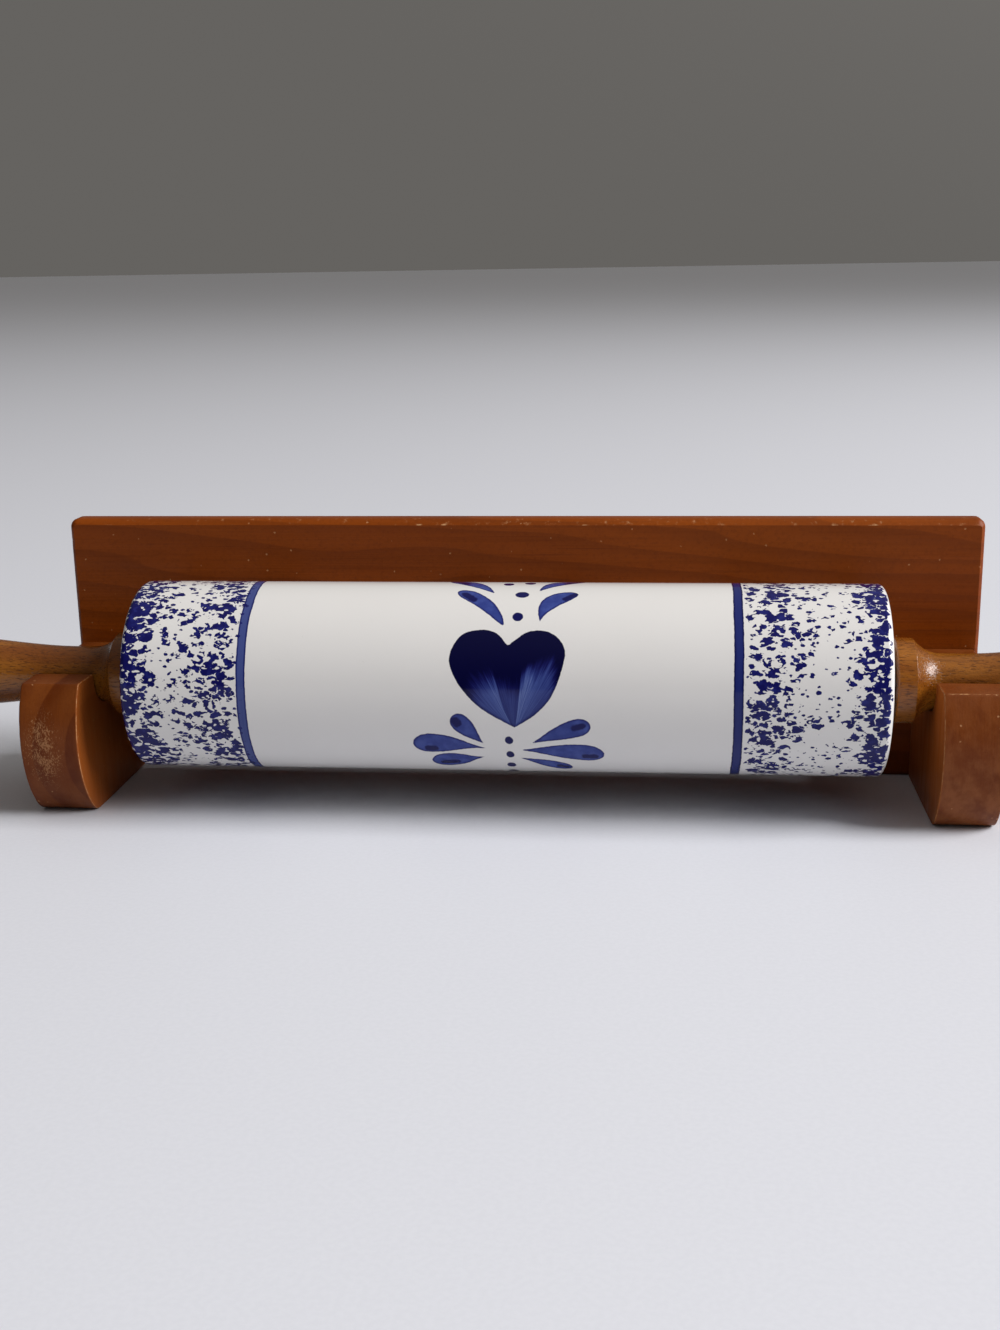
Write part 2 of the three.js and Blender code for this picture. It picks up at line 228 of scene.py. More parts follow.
def nicks(count: int, number: int, width: float, rng: np.random.Generator) -> np.ndarray:
    """Dents along a closed line: a sum of narrow bells at random places with random depths.

    Args:
        count: Number of samples round the line.
        number: Number of dents.
        width: Half width of a dent, in samples.
        rng: Seeded source of the places.

    Returns:
        Array of values from 0 up to about 1.
    """
    at = np.arange(count)[None, :]
    place = rng.uniform(0, count, number)[:, None]
    depth = rng.uniform(0.25, 1.0, number)[:, None]
    wide = width * rng.uniform(0.5, 1.6, number)[:, None]
    away = np.abs((at - place + count / 2) % count - count / 2)
    return np.clip((depth * np.exp(-(away / wide) ** 2)).sum(0), 0.0, 1.0)


# Surfaces


@dataclass
class Surface:
    """Points, faces and per-point values of one piece, in millimetres.

    Attributes:
        points: Array of shape (n, 3).
        faces: Lists of point numbers, anticlockwise seen from outside.
        values: Named arrays with one number for each point.
        flat: How many of the last faces are shaded flat.
    """

    points: np.ndarray
    faces: list[list[int]]
    values: dict[str, np.ndarray] = field(default_factory=dict)
    flat: int = 0

    def moved(self, x: float = 0.0, y: float = 0.0, z: float = 0.0) -> "Surface":
        """The same surface carried by a step along each axis."""
        return replace(self, points=self.points + np.array([x, y, z]))

    def facing(self, side: Side) -> "Surface":
        """The surface as it is for the right end, or given half a turn about Z for the left end."""
        return replace(self, points=self.points * np.array([side.value, side.value, 1.0]))

    def along_y(self) -> "Surface":
        """A surface about X given a quarter turn about Z, so that +X becomes +Y."""
        x, y, z = self.points.T
        return replace(self, points=np.column_stack([-y, x, z]))

    def piece(self, name: str, body: Body, slot: Slot, finish: Material, *nodes: str) -> None:
        """Makes the Blender piece at the origin, its place in its mesh, puts it on its body and reports it.

        Args:
            name: Name of the piece.
            body: Body that it rides on.
            slot: Material slot of the record; not used.
            finish: Its material.
            nodes: CAD nodes that it stands for.
        """
        mesh = bpy.data.meshes.new(name)
        mesh.from_pydata((self.points * MM).tolist(), [], self.faces)
        for label, numbers in self.values.items():
            store = mesh.attributes.new(label, "FLOAT", "POINT")
            store.data.foreach_set("value", np.ascontiguousarray(numbers, np.float32))
        mesh.update()
        mesh.set_sharp_from_angle(angle=SHARP_ANGLE)
        smooth = np.arange(len(self.faces)) < len(self.faces) - self.flat
        mesh.polygons.foreach_set("use_smooth", smooth)
        mesh.materials.append(finish)
        made = bpy.data.objects.new(name, mesh)
        bpy.context.scene.collection.objects.link(made)
        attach(made, body.value)
        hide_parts(*nodes)
        LOG.info("%s: %d points, %d faces", name, len(mesh.vertices), len(mesh.polygons))


def banded(number: np.ndarray) -> np.ndarray:
    """Four-sided faces between each row of point numbers and the next, every row closed on itself.

    Args:
        number: Point numbers, shape (rows, n).

    Returns:
        Array of shape ((rows - 1) * n, 4).
    """
    low, high = number[:-1], number[1:]
    quads = np.stack([low, np.roll(low, -1, axis=1), np.roll(high, -1, axis=1), high], axis=-1)
    return quads.reshape(-1, 4)


def turned(outline: np.ndarray, sides: int) -> Surface:
    """Turning about X: an outline (along, radius) carried round the axis.

    A point is (along, radius times cosine, radius times sine) of evenly spaced angles. The outline runs
    outwards, along the outside towards +X and back in. An end on the axis becomes one shared point, and an
    outline that ends where it starts closes on itself.

    Args:
        outline: Array of shape (n, 2).
        sides: Number of steps round the axis.

    Returns:
        The closed surface.
    """
    closed = np.allclose(outline[0], outline[-1])
    rows = outline[:-1] if closed else outline
    angle = np.arange(sides) * 2 * np.pi / sides
    along, radius = np.repeat(rows[:, :1], sides, axis=1), rows[:, 1:]
    points = np.stack([along, radius * np.cos(angle), radius * np.sin(angle)], axis=-1).reshape(-1, 3)
    number = np.arange(len(rows) * sides).reshape(len(rows), sides)
    pole = rows[:, 1] < ON_AXIS
    number[pole] = number[pole][:, :1]
    quads = banded(np.vstack([number, number[:1]]) if closed else number)
    used, quads = np.unique(quads, return_inverse=True)
    faces = [list(dict.fromkeys(face)) for face in quads.reshape(-1, 4).tolist()]
    return Surface(points[used], faces)


def threaded(along: np.ndarray, depth: float, pitch: float) -> np.ndarray:
    """Depth of a rolled thread: a wave of the cosine for each pitch, from 0 to its full depth."""
    return depth * (0.5 - 0.5 * np.cos(2 * np.pi * along / pitch))


def ringed(outline: np.ndarray, insets: np.ndarray, depths: np.ndarray, caps: bool = True) -> Surface:
    """Slab: a closed outline carried in depth, each ring drawn in from the outline by its own inset.

    A point is (outline plus inset times inward normal, depth). The last ring is closed flat.

    Args:
        outline: Anticlockwise outline, shape (n, 2).
        insets: Inset of each ring at each outline point, shape (rings, n).
        depths: Depth of each ring at each outline point, shape (rings, n).
        caps: Whether the first ring is closed flat too.

    Returns:
        Surface whose points are (first outline axis, second outline axis, depth).
    """
    rings, count = insets.shape
    flat = outline[None] + insets[..., None] * inward(outline)[None]
    points = np.concatenate([flat, depths[..., None]], axis=-1).reshape(-1, 3)
    number = np.arange(rings * count).reshape(rings, count)
    faces = banded(number).tolist() + [number[-1].tolist()]
    if caps:
        faces.append(number[0][::-1].tolist())
    return Surface(points, faces)


def eased(radius: np.ndarray, steps: int) -> tuple[np.ndarray, np.ndarray]:
    """Quarter round whose radius changes along the edge.

    Inset is radius times (1 - cosine), drop is radius times (1 - sine), from the side to the face.

    Args:
        radius: Radius at each point along the edge.
        steps: Rings on the round, both ends included.

    Returns:
        Insets and drops below the face, each of shape (steps, n).
    """
    angle = np.linspace(0.0, np.pi / 2, steps)[:, None]
    return radius * (1 - np.cos(angle)), radius * (1 - np.sin(angle))


def chamfered(reach: np.ndarray, steps: int) -> tuple[np.ndarray, np.ndarray]:
    """Slightly rounded chamfer: drop falls evenly while inset grows as the mean of a line and a parabola.

    Args:
        reach: Size of the chamfer at each point along the edge.
        steps: Rings on the chamfer, both ends included.

    Returns:
        Insets and drops below the face, each of shape (steps, n), from the side to the face.
    """
    t = np.linspace(0.0, 1.0, steps)[:, None]
    return reach * (t + t ** 2) / 2, reach * (1 - t)


# Materials


class Bench:
    """A node tree under construction, with one short method for each kind of node."""

    def __init__(self, owner: Material | bpy.types.World) -> None:
        """Starts an empty node tree.

        Args:
            owner: Material or sky that it belongs to.
        """
        self.owner = owner
        self.owner.use_nodes = True
        self.tree = self.owner.node_tree
        self.tree.nodes.clear()

    @classmethod
    def material(cls, name: str) -> "Bench":
        """Starts a new material."""
        return cls(bpy.data.materials.new(name))

    def node(self, kind: str, **settings: object) -> bpy.types.Node:
        """Adds a node.

        Args:
            kind: Its type.
            settings: Its properties by name.

        Returns:
            The new node.
        """
        made = self.tree.nodes.new(kind)
        for key, setting in settings.items():
            setattr(made, key, setting)
        return made

    def feed(self, socket: Socket, value: object) -> None:
        """Links another node's output to a socket, or sets the socket's own value.

        Args:
            socket: Input to feed.
            value: Output to link, or a number, vector or colour.
        """
        if isinstance(value, Socket):
            self.tree.links.new(value, socket)
        elif socket.type == "RGBA" and len(value) == 3:
            socket.default_value = (*value, 1.0)
        else:
            socket.default_value = value

    def step(self, kind: str, *terms: object, **settings: object) -> bpy.types.Node:
        """Adds a node and feeds its sockets in their order.

        Args:
            kind: Its type.
            terms: What goes into its first sockets.
            settings: Its properties by name.

        Returns:
            The new node.
        """
        made = self.node(kind, **settings)
        for socket, term in zip(made.inputs, terms):
            self.feed(socket, term)
        return made

    def place(self) -> Socket:
        """Object coordinates, in metres."""
        return self.node("ShaderNodeTexCoord").outputs["Object"]

    def axes(self, vector: Socket | None = None) -> tuple[Socket, ...]:
        """The three parts of a vector, or of the object coordinates."""
        return tuple(self.step("ShaderNodeSeparateXYZ", vector or self.place()).outputs)

    def joined(self, x: object, y: object, z: object = 0.0) -> Socket:
        """A vector from three numbers."""
        return self.step("ShaderNodeCombineXYZ", x, y, z).outputs[0]

    def scaled(self, scale: Point, shift: Point = (0.0, 0.0, 0.0)) -> Socket:
        """Object coordinates stretched by a factor along each axis, then shifted.

        Args:
            scale: Factor along each axis.
            shift: Step along each axis.

        Returns:
            Vector socket.
        """
        made = self.node("ShaderNodeMapping")
        for key, term in (("Vector", self.place()), ("Scale", scale), ("Location", shift)):
            self.feed(made.inputs[key], term)
        return made.outputs[0]

    def value(self, name: str) -> Socket:
        """A per-point value of the piece."""
        return self.node("ShaderNodeAttribute", attribute_name=name).outputs["Fac"]

    def calc(self, operation: str, *terms: object, clamp: bool = False) -> Socket:
        """One step of arithmetic on sockets or numbers."""
        return self.step("ShaderNodeMath", *terms, operation=operation, use_clamp=clamp).outputs[0]

    def plus(self, first: object, second: object) -> Socket:
        """Sum of two numbers."""
        return self.calc("ADD", first, second)

    def minus(self, first: object, second: object) -> Socket:
        """First number less the second."""
        return self.calc("SUBTRACT", first, second)

    def times(self, first: object, second: object) -> Socket:
        """Product of two numbers."""
        return self.calc("MULTIPLY", first, second)

    def times_plus(self, value: object, factor: object, start: object) -> Socket:
        """A value times a factor, added to a start."""
        return self.calc("MULTIPLY_ADD", value, factor, start)

    def larger(self, first: object, second: object) -> Socket:
        """The larger of two numbers."""
        return self.calc("MAXIMUM", first, second)

    def ease(self, value: object, low: float, high: float, to_low: float = 0.0,
             to_high: float = 1.0) -> Socket:
        """A smooth step from to_low at low to to_high at high."""
        terms = (value, low, high, to_low, to_high)
        return self.step("ShaderNodeMapRange", *terms, interpolation_type="SMOOTHSTEP").outputs[0]

    def noise(self, scale: float | Point, detail: float = 2.0, rough: float = 0.5, distortion: float = 0.0,
              vector: Socket | None = None) -> Socket:
        """Cloud noise between 0 and 1.

        Args:
            scale: Clouds to a metre, the same every way or one number for each axis.
            detail: How many finer layers of noise are laid over it.
            rough: Strength of each finer layer.
            distortion: How much the clouds are warped.
            vector: Where the noise is read, if not at the object coordinates.

        Returns:
            Socket of the noise.
        """
        even = not isinstance(scale, tuple)
        if vector is None:
            vector = self.place() if even else self.scaled(scale)
        made = self.node("ShaderNodeTexNoise")
        self.feed(made.inputs["Vector"], vector)
        made.inputs["Scale"].default_value = scale if even else 1.0
        for key, number in (("Detail", detail), ("Roughness", rough), ("Distortion", distortion)):
            made.inputs[key].default_value = number
        return made.outputs[0]

    def swing(self, scale: float | Point, **settings: object) -> Socket:
        """Cloud noise between -0.5 and 0.5, with the settings of noise."""
        return self.minus(self.noise(scale, **settings), 0.5)

    def shaken(self, vector: Socket, scale: float, reach: float) -> Socket:
        """A vector moved at random within reach, patch by patch.

        Args:
            vector: Vector to move.
            scale: Patches to a metre.
            reach: Longest move along each axis, in metres.

        Returns:
            Vector socket.
        """
        made = self.node("ShaderNodeTexNoise")
        self.feed(made.inputs["Vector"], vector)
        made.inputs["Scale"].default_value = scale
        terms = (made.outputs["Color"], (reach, reach, reach), vector)
        return self.step("ShaderNodeVectorMath", *terms, operation="MULTIPLY_ADD").outputs[0]

    def cells(self, vector: Socket, scale: float) -> tuple[Socket, Socket]:
        """Scattered points and the cells about them.

        Args:
            vector: Where the cells are read.
            scale: Cells to a metre.

        Returns:
            Distance to the nearest point, and a random colour for each cell.
        """
        made = self.node("ShaderNodeTexVoronoi")
        self.feed(made.inputs["Vector"], vector)
        made.inputs["Scale"].default_value = scale
        return made.outputs["Distance"], made.outputs["Color"]

    def ramp(self, value: object, stops: Scale) -> Socket:
        """A scale of colours, or of grey numbers, read at a value.

        Args:
            value: Place on the scale, from 0 to 1.
            stops: Places with their colour or number, in order.

        Returns:
            Colour socket.
        """
        made = self.step("ShaderNodeValToRGB", value)
        scale = made.color_ramp.elements
        while len(scale) < len(stops):
            scale.new(0.5)
        for element, (at, tone) in zip(scale, stops):
            element.position = at
            element.color = (*tone, 1.0) if isinstance(tone, tuple) else (tone, tone, tone, 1.0)
        return made.outputs[0]

    def mix(self, share: object, first: object, second: object) -> Socket:
        """Mixes two colours.

        Args:
            share: Share of the second colour.
            first: Colour at share 0.
            second: Colour at share 1.

        Returns:
            Colour socket.
        """
        made = self.step("ShaderNodeMix", share, data_type="RGBA")
        colours = [socket for socket in made.inputs if socket.type == "RGBA"]
        for socket, colour in zip(colours, (first, second)):
            self.feed(socket, colour)
        return next(socket for socket in made.outputs if socket.type == "RGBA")

    def bump(self, height: object, strength: float, depth: float, under: Socket | None = None) -> Socket:
        """Surface relief.

        Args:
            height: Height between 0 and 1.
            strength: How much of the relief shows.
            depth: Depth of the relief, in metres.
            under: Earlier relief that this one lies on.

        Returns:
            Normal socket.
        """
        made = self.node("ShaderNodeBump")
        for key, term in (("Strength", strength), ("Distance", depth), ("Height", height)):
            self.feed(made.inputs[key], term)
        if under is not None:
            self.feed(made.inputs["Normal"], under)
        return made.outputs[0]

    def finished(self, colour: object, rough: object, relief: Socket | None = None,
                 **others: object) -> Material:
        """Closes the tree with one surface shader.

        Args:
            colour: Colour or its socket.
            rough: Roughness or its socket.
            relief: Normal socket, if any.
            others: Further shader sockets by name, spaces written as underscores, with a value or a socket.

        Returns:
            The finished material.
        """
        shader = self.node("ShaderNodeBsdfPrincipled")
        self.feed(shader.inputs["Base Color"], colour)
        self.feed(shader.inputs["Roughness"], rough)
        if relief is not None:
            self.feed(shader.inputs["Normal"], relief)
        for key, term in others.items():
            self.feed(shader.inputs[key.replace("_", " ")], term)
        self.step("ShaderNodeOutputMaterial", shader.outputs[0])
        return self.owner


@dataclass(frozen=True)
class Stripe:
    """A thin stripe painted round the barrel, in millimetres along it.

    Attributes:
        middle: Its place along the barrel.
        half: Half its width.
        edge: Colour where the brush left most.
        body: Colour between the edges.
    """

    middle: float
    half: float
    edge: Colour
    body: Colour


@dataclass(frozen=True)
class GlazeFinish:
    """White glaze over blue painting: sponged ends, two thin stripes and the painted motif.

    Attributes:
        white: Glaze where it is thickest.
        ivory: Glaze where it is thinner.
        navy: Sponged blue.
        thin_navy: Sponged blue where the sponge left less.
        dab: Dabs and dots.
        stroke: Brushed blue.
        stroke_pale: Brushed blue where the brush ran dry.
        stroke_edge: Brushed blue where it pooled at an edge.
        heart_tones: Colours in the heart, from wet paint at 0 to the driest at 1.
        heart_level: From the heart's left to its right, how high its dry strokes reach.
        heart_dry: From the heart's left to its right, how dry the brush was.
        sponge: Places along the barrel with the share of the surface that the sponge covers there.
        blots: Sponged blots to a metre.
        specks: Fine specks between them to a metre.
        drawn: Stretch of the pattern along each axis; below 1 the blots are longer.
        stripes: The thin stripes.
        half: Half length of the barrel.
    """

    white: Colour = (0.745, 0.73, 0.715)
    ivory: Colour = (0.715, 0.70, 0.685)
    navy: Colour = (0.006, 0.006, 0.090)
    thin_navy: Colour = (0.015, 0.019, 0.155)
    dab: Colour = (0.003, 0.004, 0.078)
    stroke: Colour = (0.026, 0.043, 0.222)
    stroke_pale: Colour = (0.068, 0.104, 0.365)
    stroke_edge: Colour = (0.009, 0.012, 0.125)
    heart_tones: Scale = (
        (0.0, (0.0012, 0.0013, 0.030)), (0.18, (0.006, 0.007, 0.080)), (0.42, (0.021, 0.032, 0.168)),
        (0.72, (0.050, 0.078, 0.27)), (1.0, (0.115, 0.160, 0.38)))
    heart_level: Scale = (
        (0.02, 0.30), (0.10, 0.43), (0.29, 0.52), (0.31, 0.43), (0.57, 0.40), (0.58, 0.47), (0.70, 0.55),
        (0.82, 0.66), (0.91, 0.45))
    heart_dry: Scale = (
        (0.0, 0.42), (0.14, 0.62), (0.28, 0.86), (0.30, 0.80), (0.31, 0.36), (0.46, 0.48), (0.57, 0.38),
        (0.58, 0.95), (0.68, 0.82), (0.85, 0.52))
    sponge: Scale = (
        (-125.0, 0.97), (-123.0, 0.90), (-121.5, 0.76), (-117.0, 0.66), (-113.0, 0.48), (-110.0, 0.22),
        (-105.0, 0.15), (-101.0, 0.31), (-97.0, 0.47), (-93.0, 0.62), (-89.5, 0.66), (-87.3, 0.48),
        (-85.4, 0.10), (-81.0, 0.0), (77.5, 0.0), (79.5, 0.14), (83.0, 0.46), (88.0, 0.55), (93.0, 0.45),
        (97.5, 0.21), (102.0, 0.08), (108.0, 0.09), (112.0, 0.24), (116.0, 0.54), (119.0, 0.78),
        (122.6, 0.95), (123.8, 0.50), (124.4, 0.0))
    blots: float = 365.0
    specks: float = 640.0
    drawn: Point = (0.72, 1.0, 1.0)
    stripes: tuple[Stripe, ...] = (
        Stripe(-84.0, 1.55, (0.012, 0.018, 0.125), (0.052, 0.072, 0.235)),
        Stripe(76.7, 1.55, (0.004, 0.006, 0.072), (0.014, 0.022, 0.140)))
    half: float = 125.0

    def material(self) -> Material:
        """Builds the glaze with all its painting, an uneven skin, pinholes, and less gleam on the blue.

        Returns:
            The finished material.
        """
        bench = Bench.material("white_glaze_with_blue_painting")
        x, _, _ = bench.axes()
        along = bench.times(x, 1 / MM)
        shake = bench.swing(700.0)
        colour = bench.mix(bench.noise(28.0, detail=3.0), self.ivory, self.white)
        colour = self.striped(bench, along, shake, colour)
        colour = bench.mix(self.cover(bench, along), colour, self.sponged(bench))
        colour = self.painted(bench, shake, colour)
        skin = bench.bump(bench.noise(95.0), strength=0.04, depth=0.0004)
        far, chance = bench.cells(bench.place(), 240.0)
        pinhole = bench.times(bench.ease(far, 0.10, 0.03), bench.ease(chance, 0.80, 0.82))
        relief = bench.bump(bench.minus(1.0, pinhole), strength=0.3, depth=0.0001, under=skin)
        rough = bench.ease(bench.noise(60.0, detail=3.0), 0.3, 0.8, 0.05, 0.10)
        gleam = bench.ease(colour, 0.08, 0.55, 0.19, 0.31)
        return bench.finished(colour, rough, relief, IOR=1.5, Specular_IOR_Level=gleam)

    def cover(self, bench: Bench, along: Socket) -> Socket:
        """Sponged share: ragged balls about scattered points, as large as the place along the barrel asks.

        Args:
            bench: The material under construction.
            along: Place along the barrel, in millimetres.

        Returns:
            Socket that is 1 on blue and 0 on white.
        """
        whole = 2 * self.half
        stops = tuple(((x + self.half) / whole, ball_reach(share)) for x, share in self.sponge)
        reach = bench.ramp(bench.calc("DIVIDE", bench.plus(along, self.half), whole), stops)
        there = bench.ease(reach, 0.0, 0.25)
        clear, clumping, unlike, speckless = 0.6, 0.6, 0.45, 0.46
        absent = bench.times_plus(there, clear, -clear)
        clump = bench.times(bench.swing(110.0, detail=1.0), bench.times(there, clumping))
        drawn = bench.scaled(self.drawn)
        ragged = bench.shaken(bench.shaken(drawn, 420.0, 0.0036), 1000.0, 0.0009)
        far, chance = bench.cells(ragged, self.blots)
        typical = bench.plus(bench.plus(reach, clump), absent)
        limit = bench.times_plus(bench.minus(chance, 0.5), unlike, typical)
        blots = bench.ease(bench.minus(far, limit), 0.015, -0.02)
        gaps = bench.noise((430.0, 600.0, 600.0), detail=1.0, rough=0.4)
        blots = bench.times(blots, bench.ease(gaps, 0.615, 0.585))
        far, chance = bench.cells(bench.shaken(drawn, 1500.0, 0.0008), self.specks)
        limit = bench.plus(bench.minus(chance, speckless), absent)
        specks = bench.ease(bench.minus(far, limit), 0.02, -0.04)
        return bench.larger(blots, specks)

    def sponged(self, bench: Bench) -> Socket:
        """Navy that is a little lighter where the sponge left less colour."""
        thin = bench.ease(bench.noise(420.0, detail=3.0), 0.42, 0.75)
        return bench.mix(thin, self.navy, self.thin_navy)

    def striped(self, bench: Bench, along: Socket, shake: Socket, colour: Socket) -> Socket:
        """Lays the stripes: a band about a place along the barrel, streaked round it and darker at each edge.

        Args:
            bench: The material under construction.
            along: Place along the barrel, in millimetres.
            shake: Small noise that makes the brush line unsteady.
            colour: Colour so far.

        Returns:
            Colour with the stripes.
        """
        fade = 0.08
        drag = bench.noise((2200.0, 60.0, 60.0))
        drift = bench.swing(90.0, detail=1.0)
        for stripe in self.stripes:
            away = bench.minus(bench.times_plus(drift, 0.5, along), stripe.middle)
            away = bench.times_plus(shake, 0.3, bench.calc("ABSOLUTE", away))
            edge = bench.ease(away, stripe.half - 0.75, stripe.half - 0.25, -0.3, 0.7)
            pooled = bench.times_plus(drag, 0.8, edge)
            body = bench.mix(bench.ease(pooled, 0.0, 1.0), stripe.body, stripe.edge)
            colour = bench.mix(bench.ease(away, stripe.half + fade, stripe.half - fade), colour, body)
        return colour

    def painted(self, bench: Bench, shake: Socket, colour: Socket) -> Socket:
        """Lays the painted motif from the piece's own distances to its strokes, dabs and heart.

        Args:
            bench: The material under construction.
            shake: Small noise that makes the brush line unsteady.
            colour: Colour so far.

        Returns:
            Colour with the motif.
        """
        fade = 0.12
        wobble = bench.times(shake, 0.4)
        ink = bench.plus(bench.value("ink"), wobble)
        dab = bench.times_plus(shake, 0.9, bench.value("dab"))
        wash = bench.ease(bench.noise(260.0, detail=3.0), 0.35, 0.75, 0.0, 0.55)
        body = bench.mix(wash, self.stroke, self.stroke_pale)
        body = bench.mix(bench.ease(ink, -0.9, -0.15), body, self.stroke_edge)
        body = bench.mix(bench.ease(dab, 0.45, -0.25), body, self.dab)
        colour = bench.mix(bench.ease(ink, fade, -fade), colour, body)
        heart = bench.plus(bench.value("heart"), wobble)
        return bench.mix(bench.ease(heart, fade, -fade), colour, self.brushed(bench, heart))

    def brushed(self, bench: Bench, heart: Socket) -> Socket:
        """Colour inside the heart: dark lobes over three dry brush strokes that run together at its tip.

        Args:
            bench: The material under construction.
            heart: Distance outside the heart, negative inside.

        Returns:
            Colour socket.
        """
        fan, rise = bench.value("fan"), bench.value("rise")
        spread = bench.times_plus(bench.larger(bench.minus(rise, 0.2), 0.0), 0.8, 1.0)
        across = bench.times_plus(bench.times(fan, spread), 0.5, 0.5)
        fine = bench.joined(bench.times(fan, 14.0), bench.times(rise, 0.9))
        streak = bench.noise(3.0, detail=3.0, rough=0.6, vector=fine)
        wide = bench.joined(bench.times(fan, 5.0), bench.times(rise, 2.0), 4.0)
        edge = bench.minus(bench.ramp(across, self.heart_level), rise)
        edge = bench.times_plus(bench.minus(streak, 0.5), 0.16, edge)
        edge = bench.times_plus(bench.swing(1.6, vector=wide), 0.22, edge)
        tone = bench.times(bench.ease(edge, -0.13, 0.14), bench.ramp(across, self.heart_dry))
        tone = bench.times(tone, bench.ease(streak, 0.25, 0.75, 0.72, 1.18))
        tone = bench.times(tone, bench.ease(heart, -0.15, -1.3, 0.45, 1.0))
        return bench.ramp(tone, self.heart_tones)


def ball_reach(share: float) -> float:
    """Radius of balls about random points, one to a unit of volume, that together fill a share of space."""
    return (-math.log(1 - share) * 3 / (4 * math.pi)) ** (1 / 3)


class Grain(Enum):
    """How the growth rings of a wooden piece run."""

    BOARD = "long lines along X"
    CHEEK = "arches across the bowed front"


@dataclass(frozen=True)
class StainFinish:
    """Reddish-brown stain under satin varnish, with growth lines, fibres, rubbed edges and specks.

    Attributes:
        name: Name of the material.
        grain: How the growth rings run.
        dark: Late wood.
        mid: Body colour.
        light: Early wood.
        bare: Wood where the varnish is rubbed through.
        figure: How dark the growth lines are, from 0 to 1.
        fibre: Fibres to a metre across the grain.
        pore: Pores to a metre across the grain.
        arch: Place, in metres, about which the arches of a cheek run.
        spacing: Distance between the arches of a cheek, in metres.
        whole: Share of the varnish without pale nicks, from 0 to 1.
        rubbed: Middle, in metres, of a patch of fine pale scratches, or None.
        rub_size: Such patches to a metre along each axis.
        inside: Place along X, in metres, of a side painted lighter to stand for the light that
            falls on it, or None.
        pale: Colour toward which that side goes: a painted light tone.
        haze: Share of dull patches at the foot, from 0 to 1; they thin out upward.
        dull: Colour of those patches.
    """

    name: str
    grain: Grain
    dark: Colour = (0.100, 0.018, 0.0015)
    mid: Colour = (0.200, 0.038, 0.0018)
    light: Colour = (0.255, 0.053, 0.0030)
    bare: Colour = (0.52, 0.27, 0.12)
    figure: float = 0.34
    fibre: float = 520.0
    pore: float = 1500.0
    arch: Point = (0.0, 0.0, 0.0)
    spacing: float = 0.0107
    whole: float = 0.76
    rubbed: Point | None = None
    rub_size: Point = (125.0, 40.0, 58.0)
    inside: float | None = None
    pale: Colour = (0.36, 0.095, 0.016)
    haze: float = 0.0
    dull: Colour = (0.27, 0.090, 0.028)

    def rings(self, bench: Bench) -> Socket:
        """Growth lines from 0 to 1: the fractional part of a distance bent by slow noise.

        On the board the distance runs up it with a slight tilt, on a cheek it runs out from the arch.

        Args:
            bench: The material under construction.

        Returns:
            Socket that is 1 on late wood.
        """
        x, y, z = bench.axes()
        if self.grain is Grain.BOARD:
            bend = bench.noise((5.0, 12.0, 30.0))
            count = bench.plus(bench.times(z, 125.0), bench.times(x, 7.0))
            count = bench.plus(count, bench.times(bend, 5.0))
        else:
            bend = bench.swing((60.0, 40.0, 40.0))
            spot = bench.joined(x, bench.times(y, 0.2), z)
            away = bench.step("ShaderNodeVectorMath", spot, self.arch, operation="DISTANCE").outputs["Value"]
            count = bench.times_plus(bend, 0.25, bench.calc("DIVIDE", away, self.spacing))
        part = bench.calc("FRACT", count)
        return bench.times(bench.ease(part, 0.25, 0.94), bench.ease(part, 1.0, 0.95))

    def drawn_out(self, bench: Bench, fine: float) -> Socket:
        """Noise drawn out along the fibres: along X on the board, along Z on a cheek."""
        scale = (14.0, fine, fine) if self.grain is Grain.BOARD else (fine, fine * 0.6, 40.0)
        return bench.noise(scale, detail=3.0, rough=0.6)

    def material(self) -> Material:
        """Builds the wood: body colour, growth lines, fibres, pores and mottle, then haze and wear.

        Returns:
            The finished material.
        """
        bench = Bench.material(self.name)
        lines = self.rings(bench)
        thread, pore = self.drawn_out(bench, self.fibre), self.drawn_out(bench, self.pore)
        cloud = bench.noise(1.0, detail=3.0, vector=bench.scaled((6.0, 20.0, 26.0), (0.4, 0.1, 0.7)))
        colour = bench.mix(bench.ease(cloud, 0.3, 0.72), self.mid, self.light)
        mottle = bench.noise(850.0, detail=3.0, rough=0.7)
        shades = (bench.times(lines, self.figure), bench.ease(thread, 0.5, 0.8, 0.0, 0.34),
                  bench.ease(pore, 0.62, 0.75, 0.0, 0.5), bench.ease(mottle, 0.45, 0.75, 0.0, 0.30))
        for shade in shades:
            colour = bench.mix(shade, colour, self.dark)
        x, _, z = bench.axes()
        if self.haze:
            patch = bench.ease(bench.noise((170.0, 170.0, 110.0), detail=4.0, rough=0.65), 0.34, 0.66)
            patch = bench.times(patch, bench.ease(z, 0.060, 0.004, 0.2 * self.haze, self.haze))
            colour = bench.mix(patch, colour, self.dull)
        # Painted light: the face at inside is lightened toward pale to stand for the light that falls on it.
        if self.inside is not None:
            away = bench.calc("ABSOLUTE", bench.minus(x, self.inside))
            colour = bench.mix(bench.ease(away, 0.0007, 0.0001, 0.0, 0.6), colour, self.pale)
        colour, worn = self.weathered(bench, colour)
        rough = bench.ease(thread, 0.2, 0.9, 0.33, 0.5)
        rough = bench.calc("ADD", rough, bench.times(worn, 0.25), clamp=True)
        relief = bench.bump(pore, strength=0.25, depth=0.00025)
        relief = bench.bump(bench.noise(45.0), strength=0.10, depth=0.0008, under=relief)
        relief = bench.bump(bench.minus(1.0, worn), strength=0.35, depth=0.0003, under=relief)
        return bench.finished(colour, rough, relief, Specular_IOR_Level=0.14)

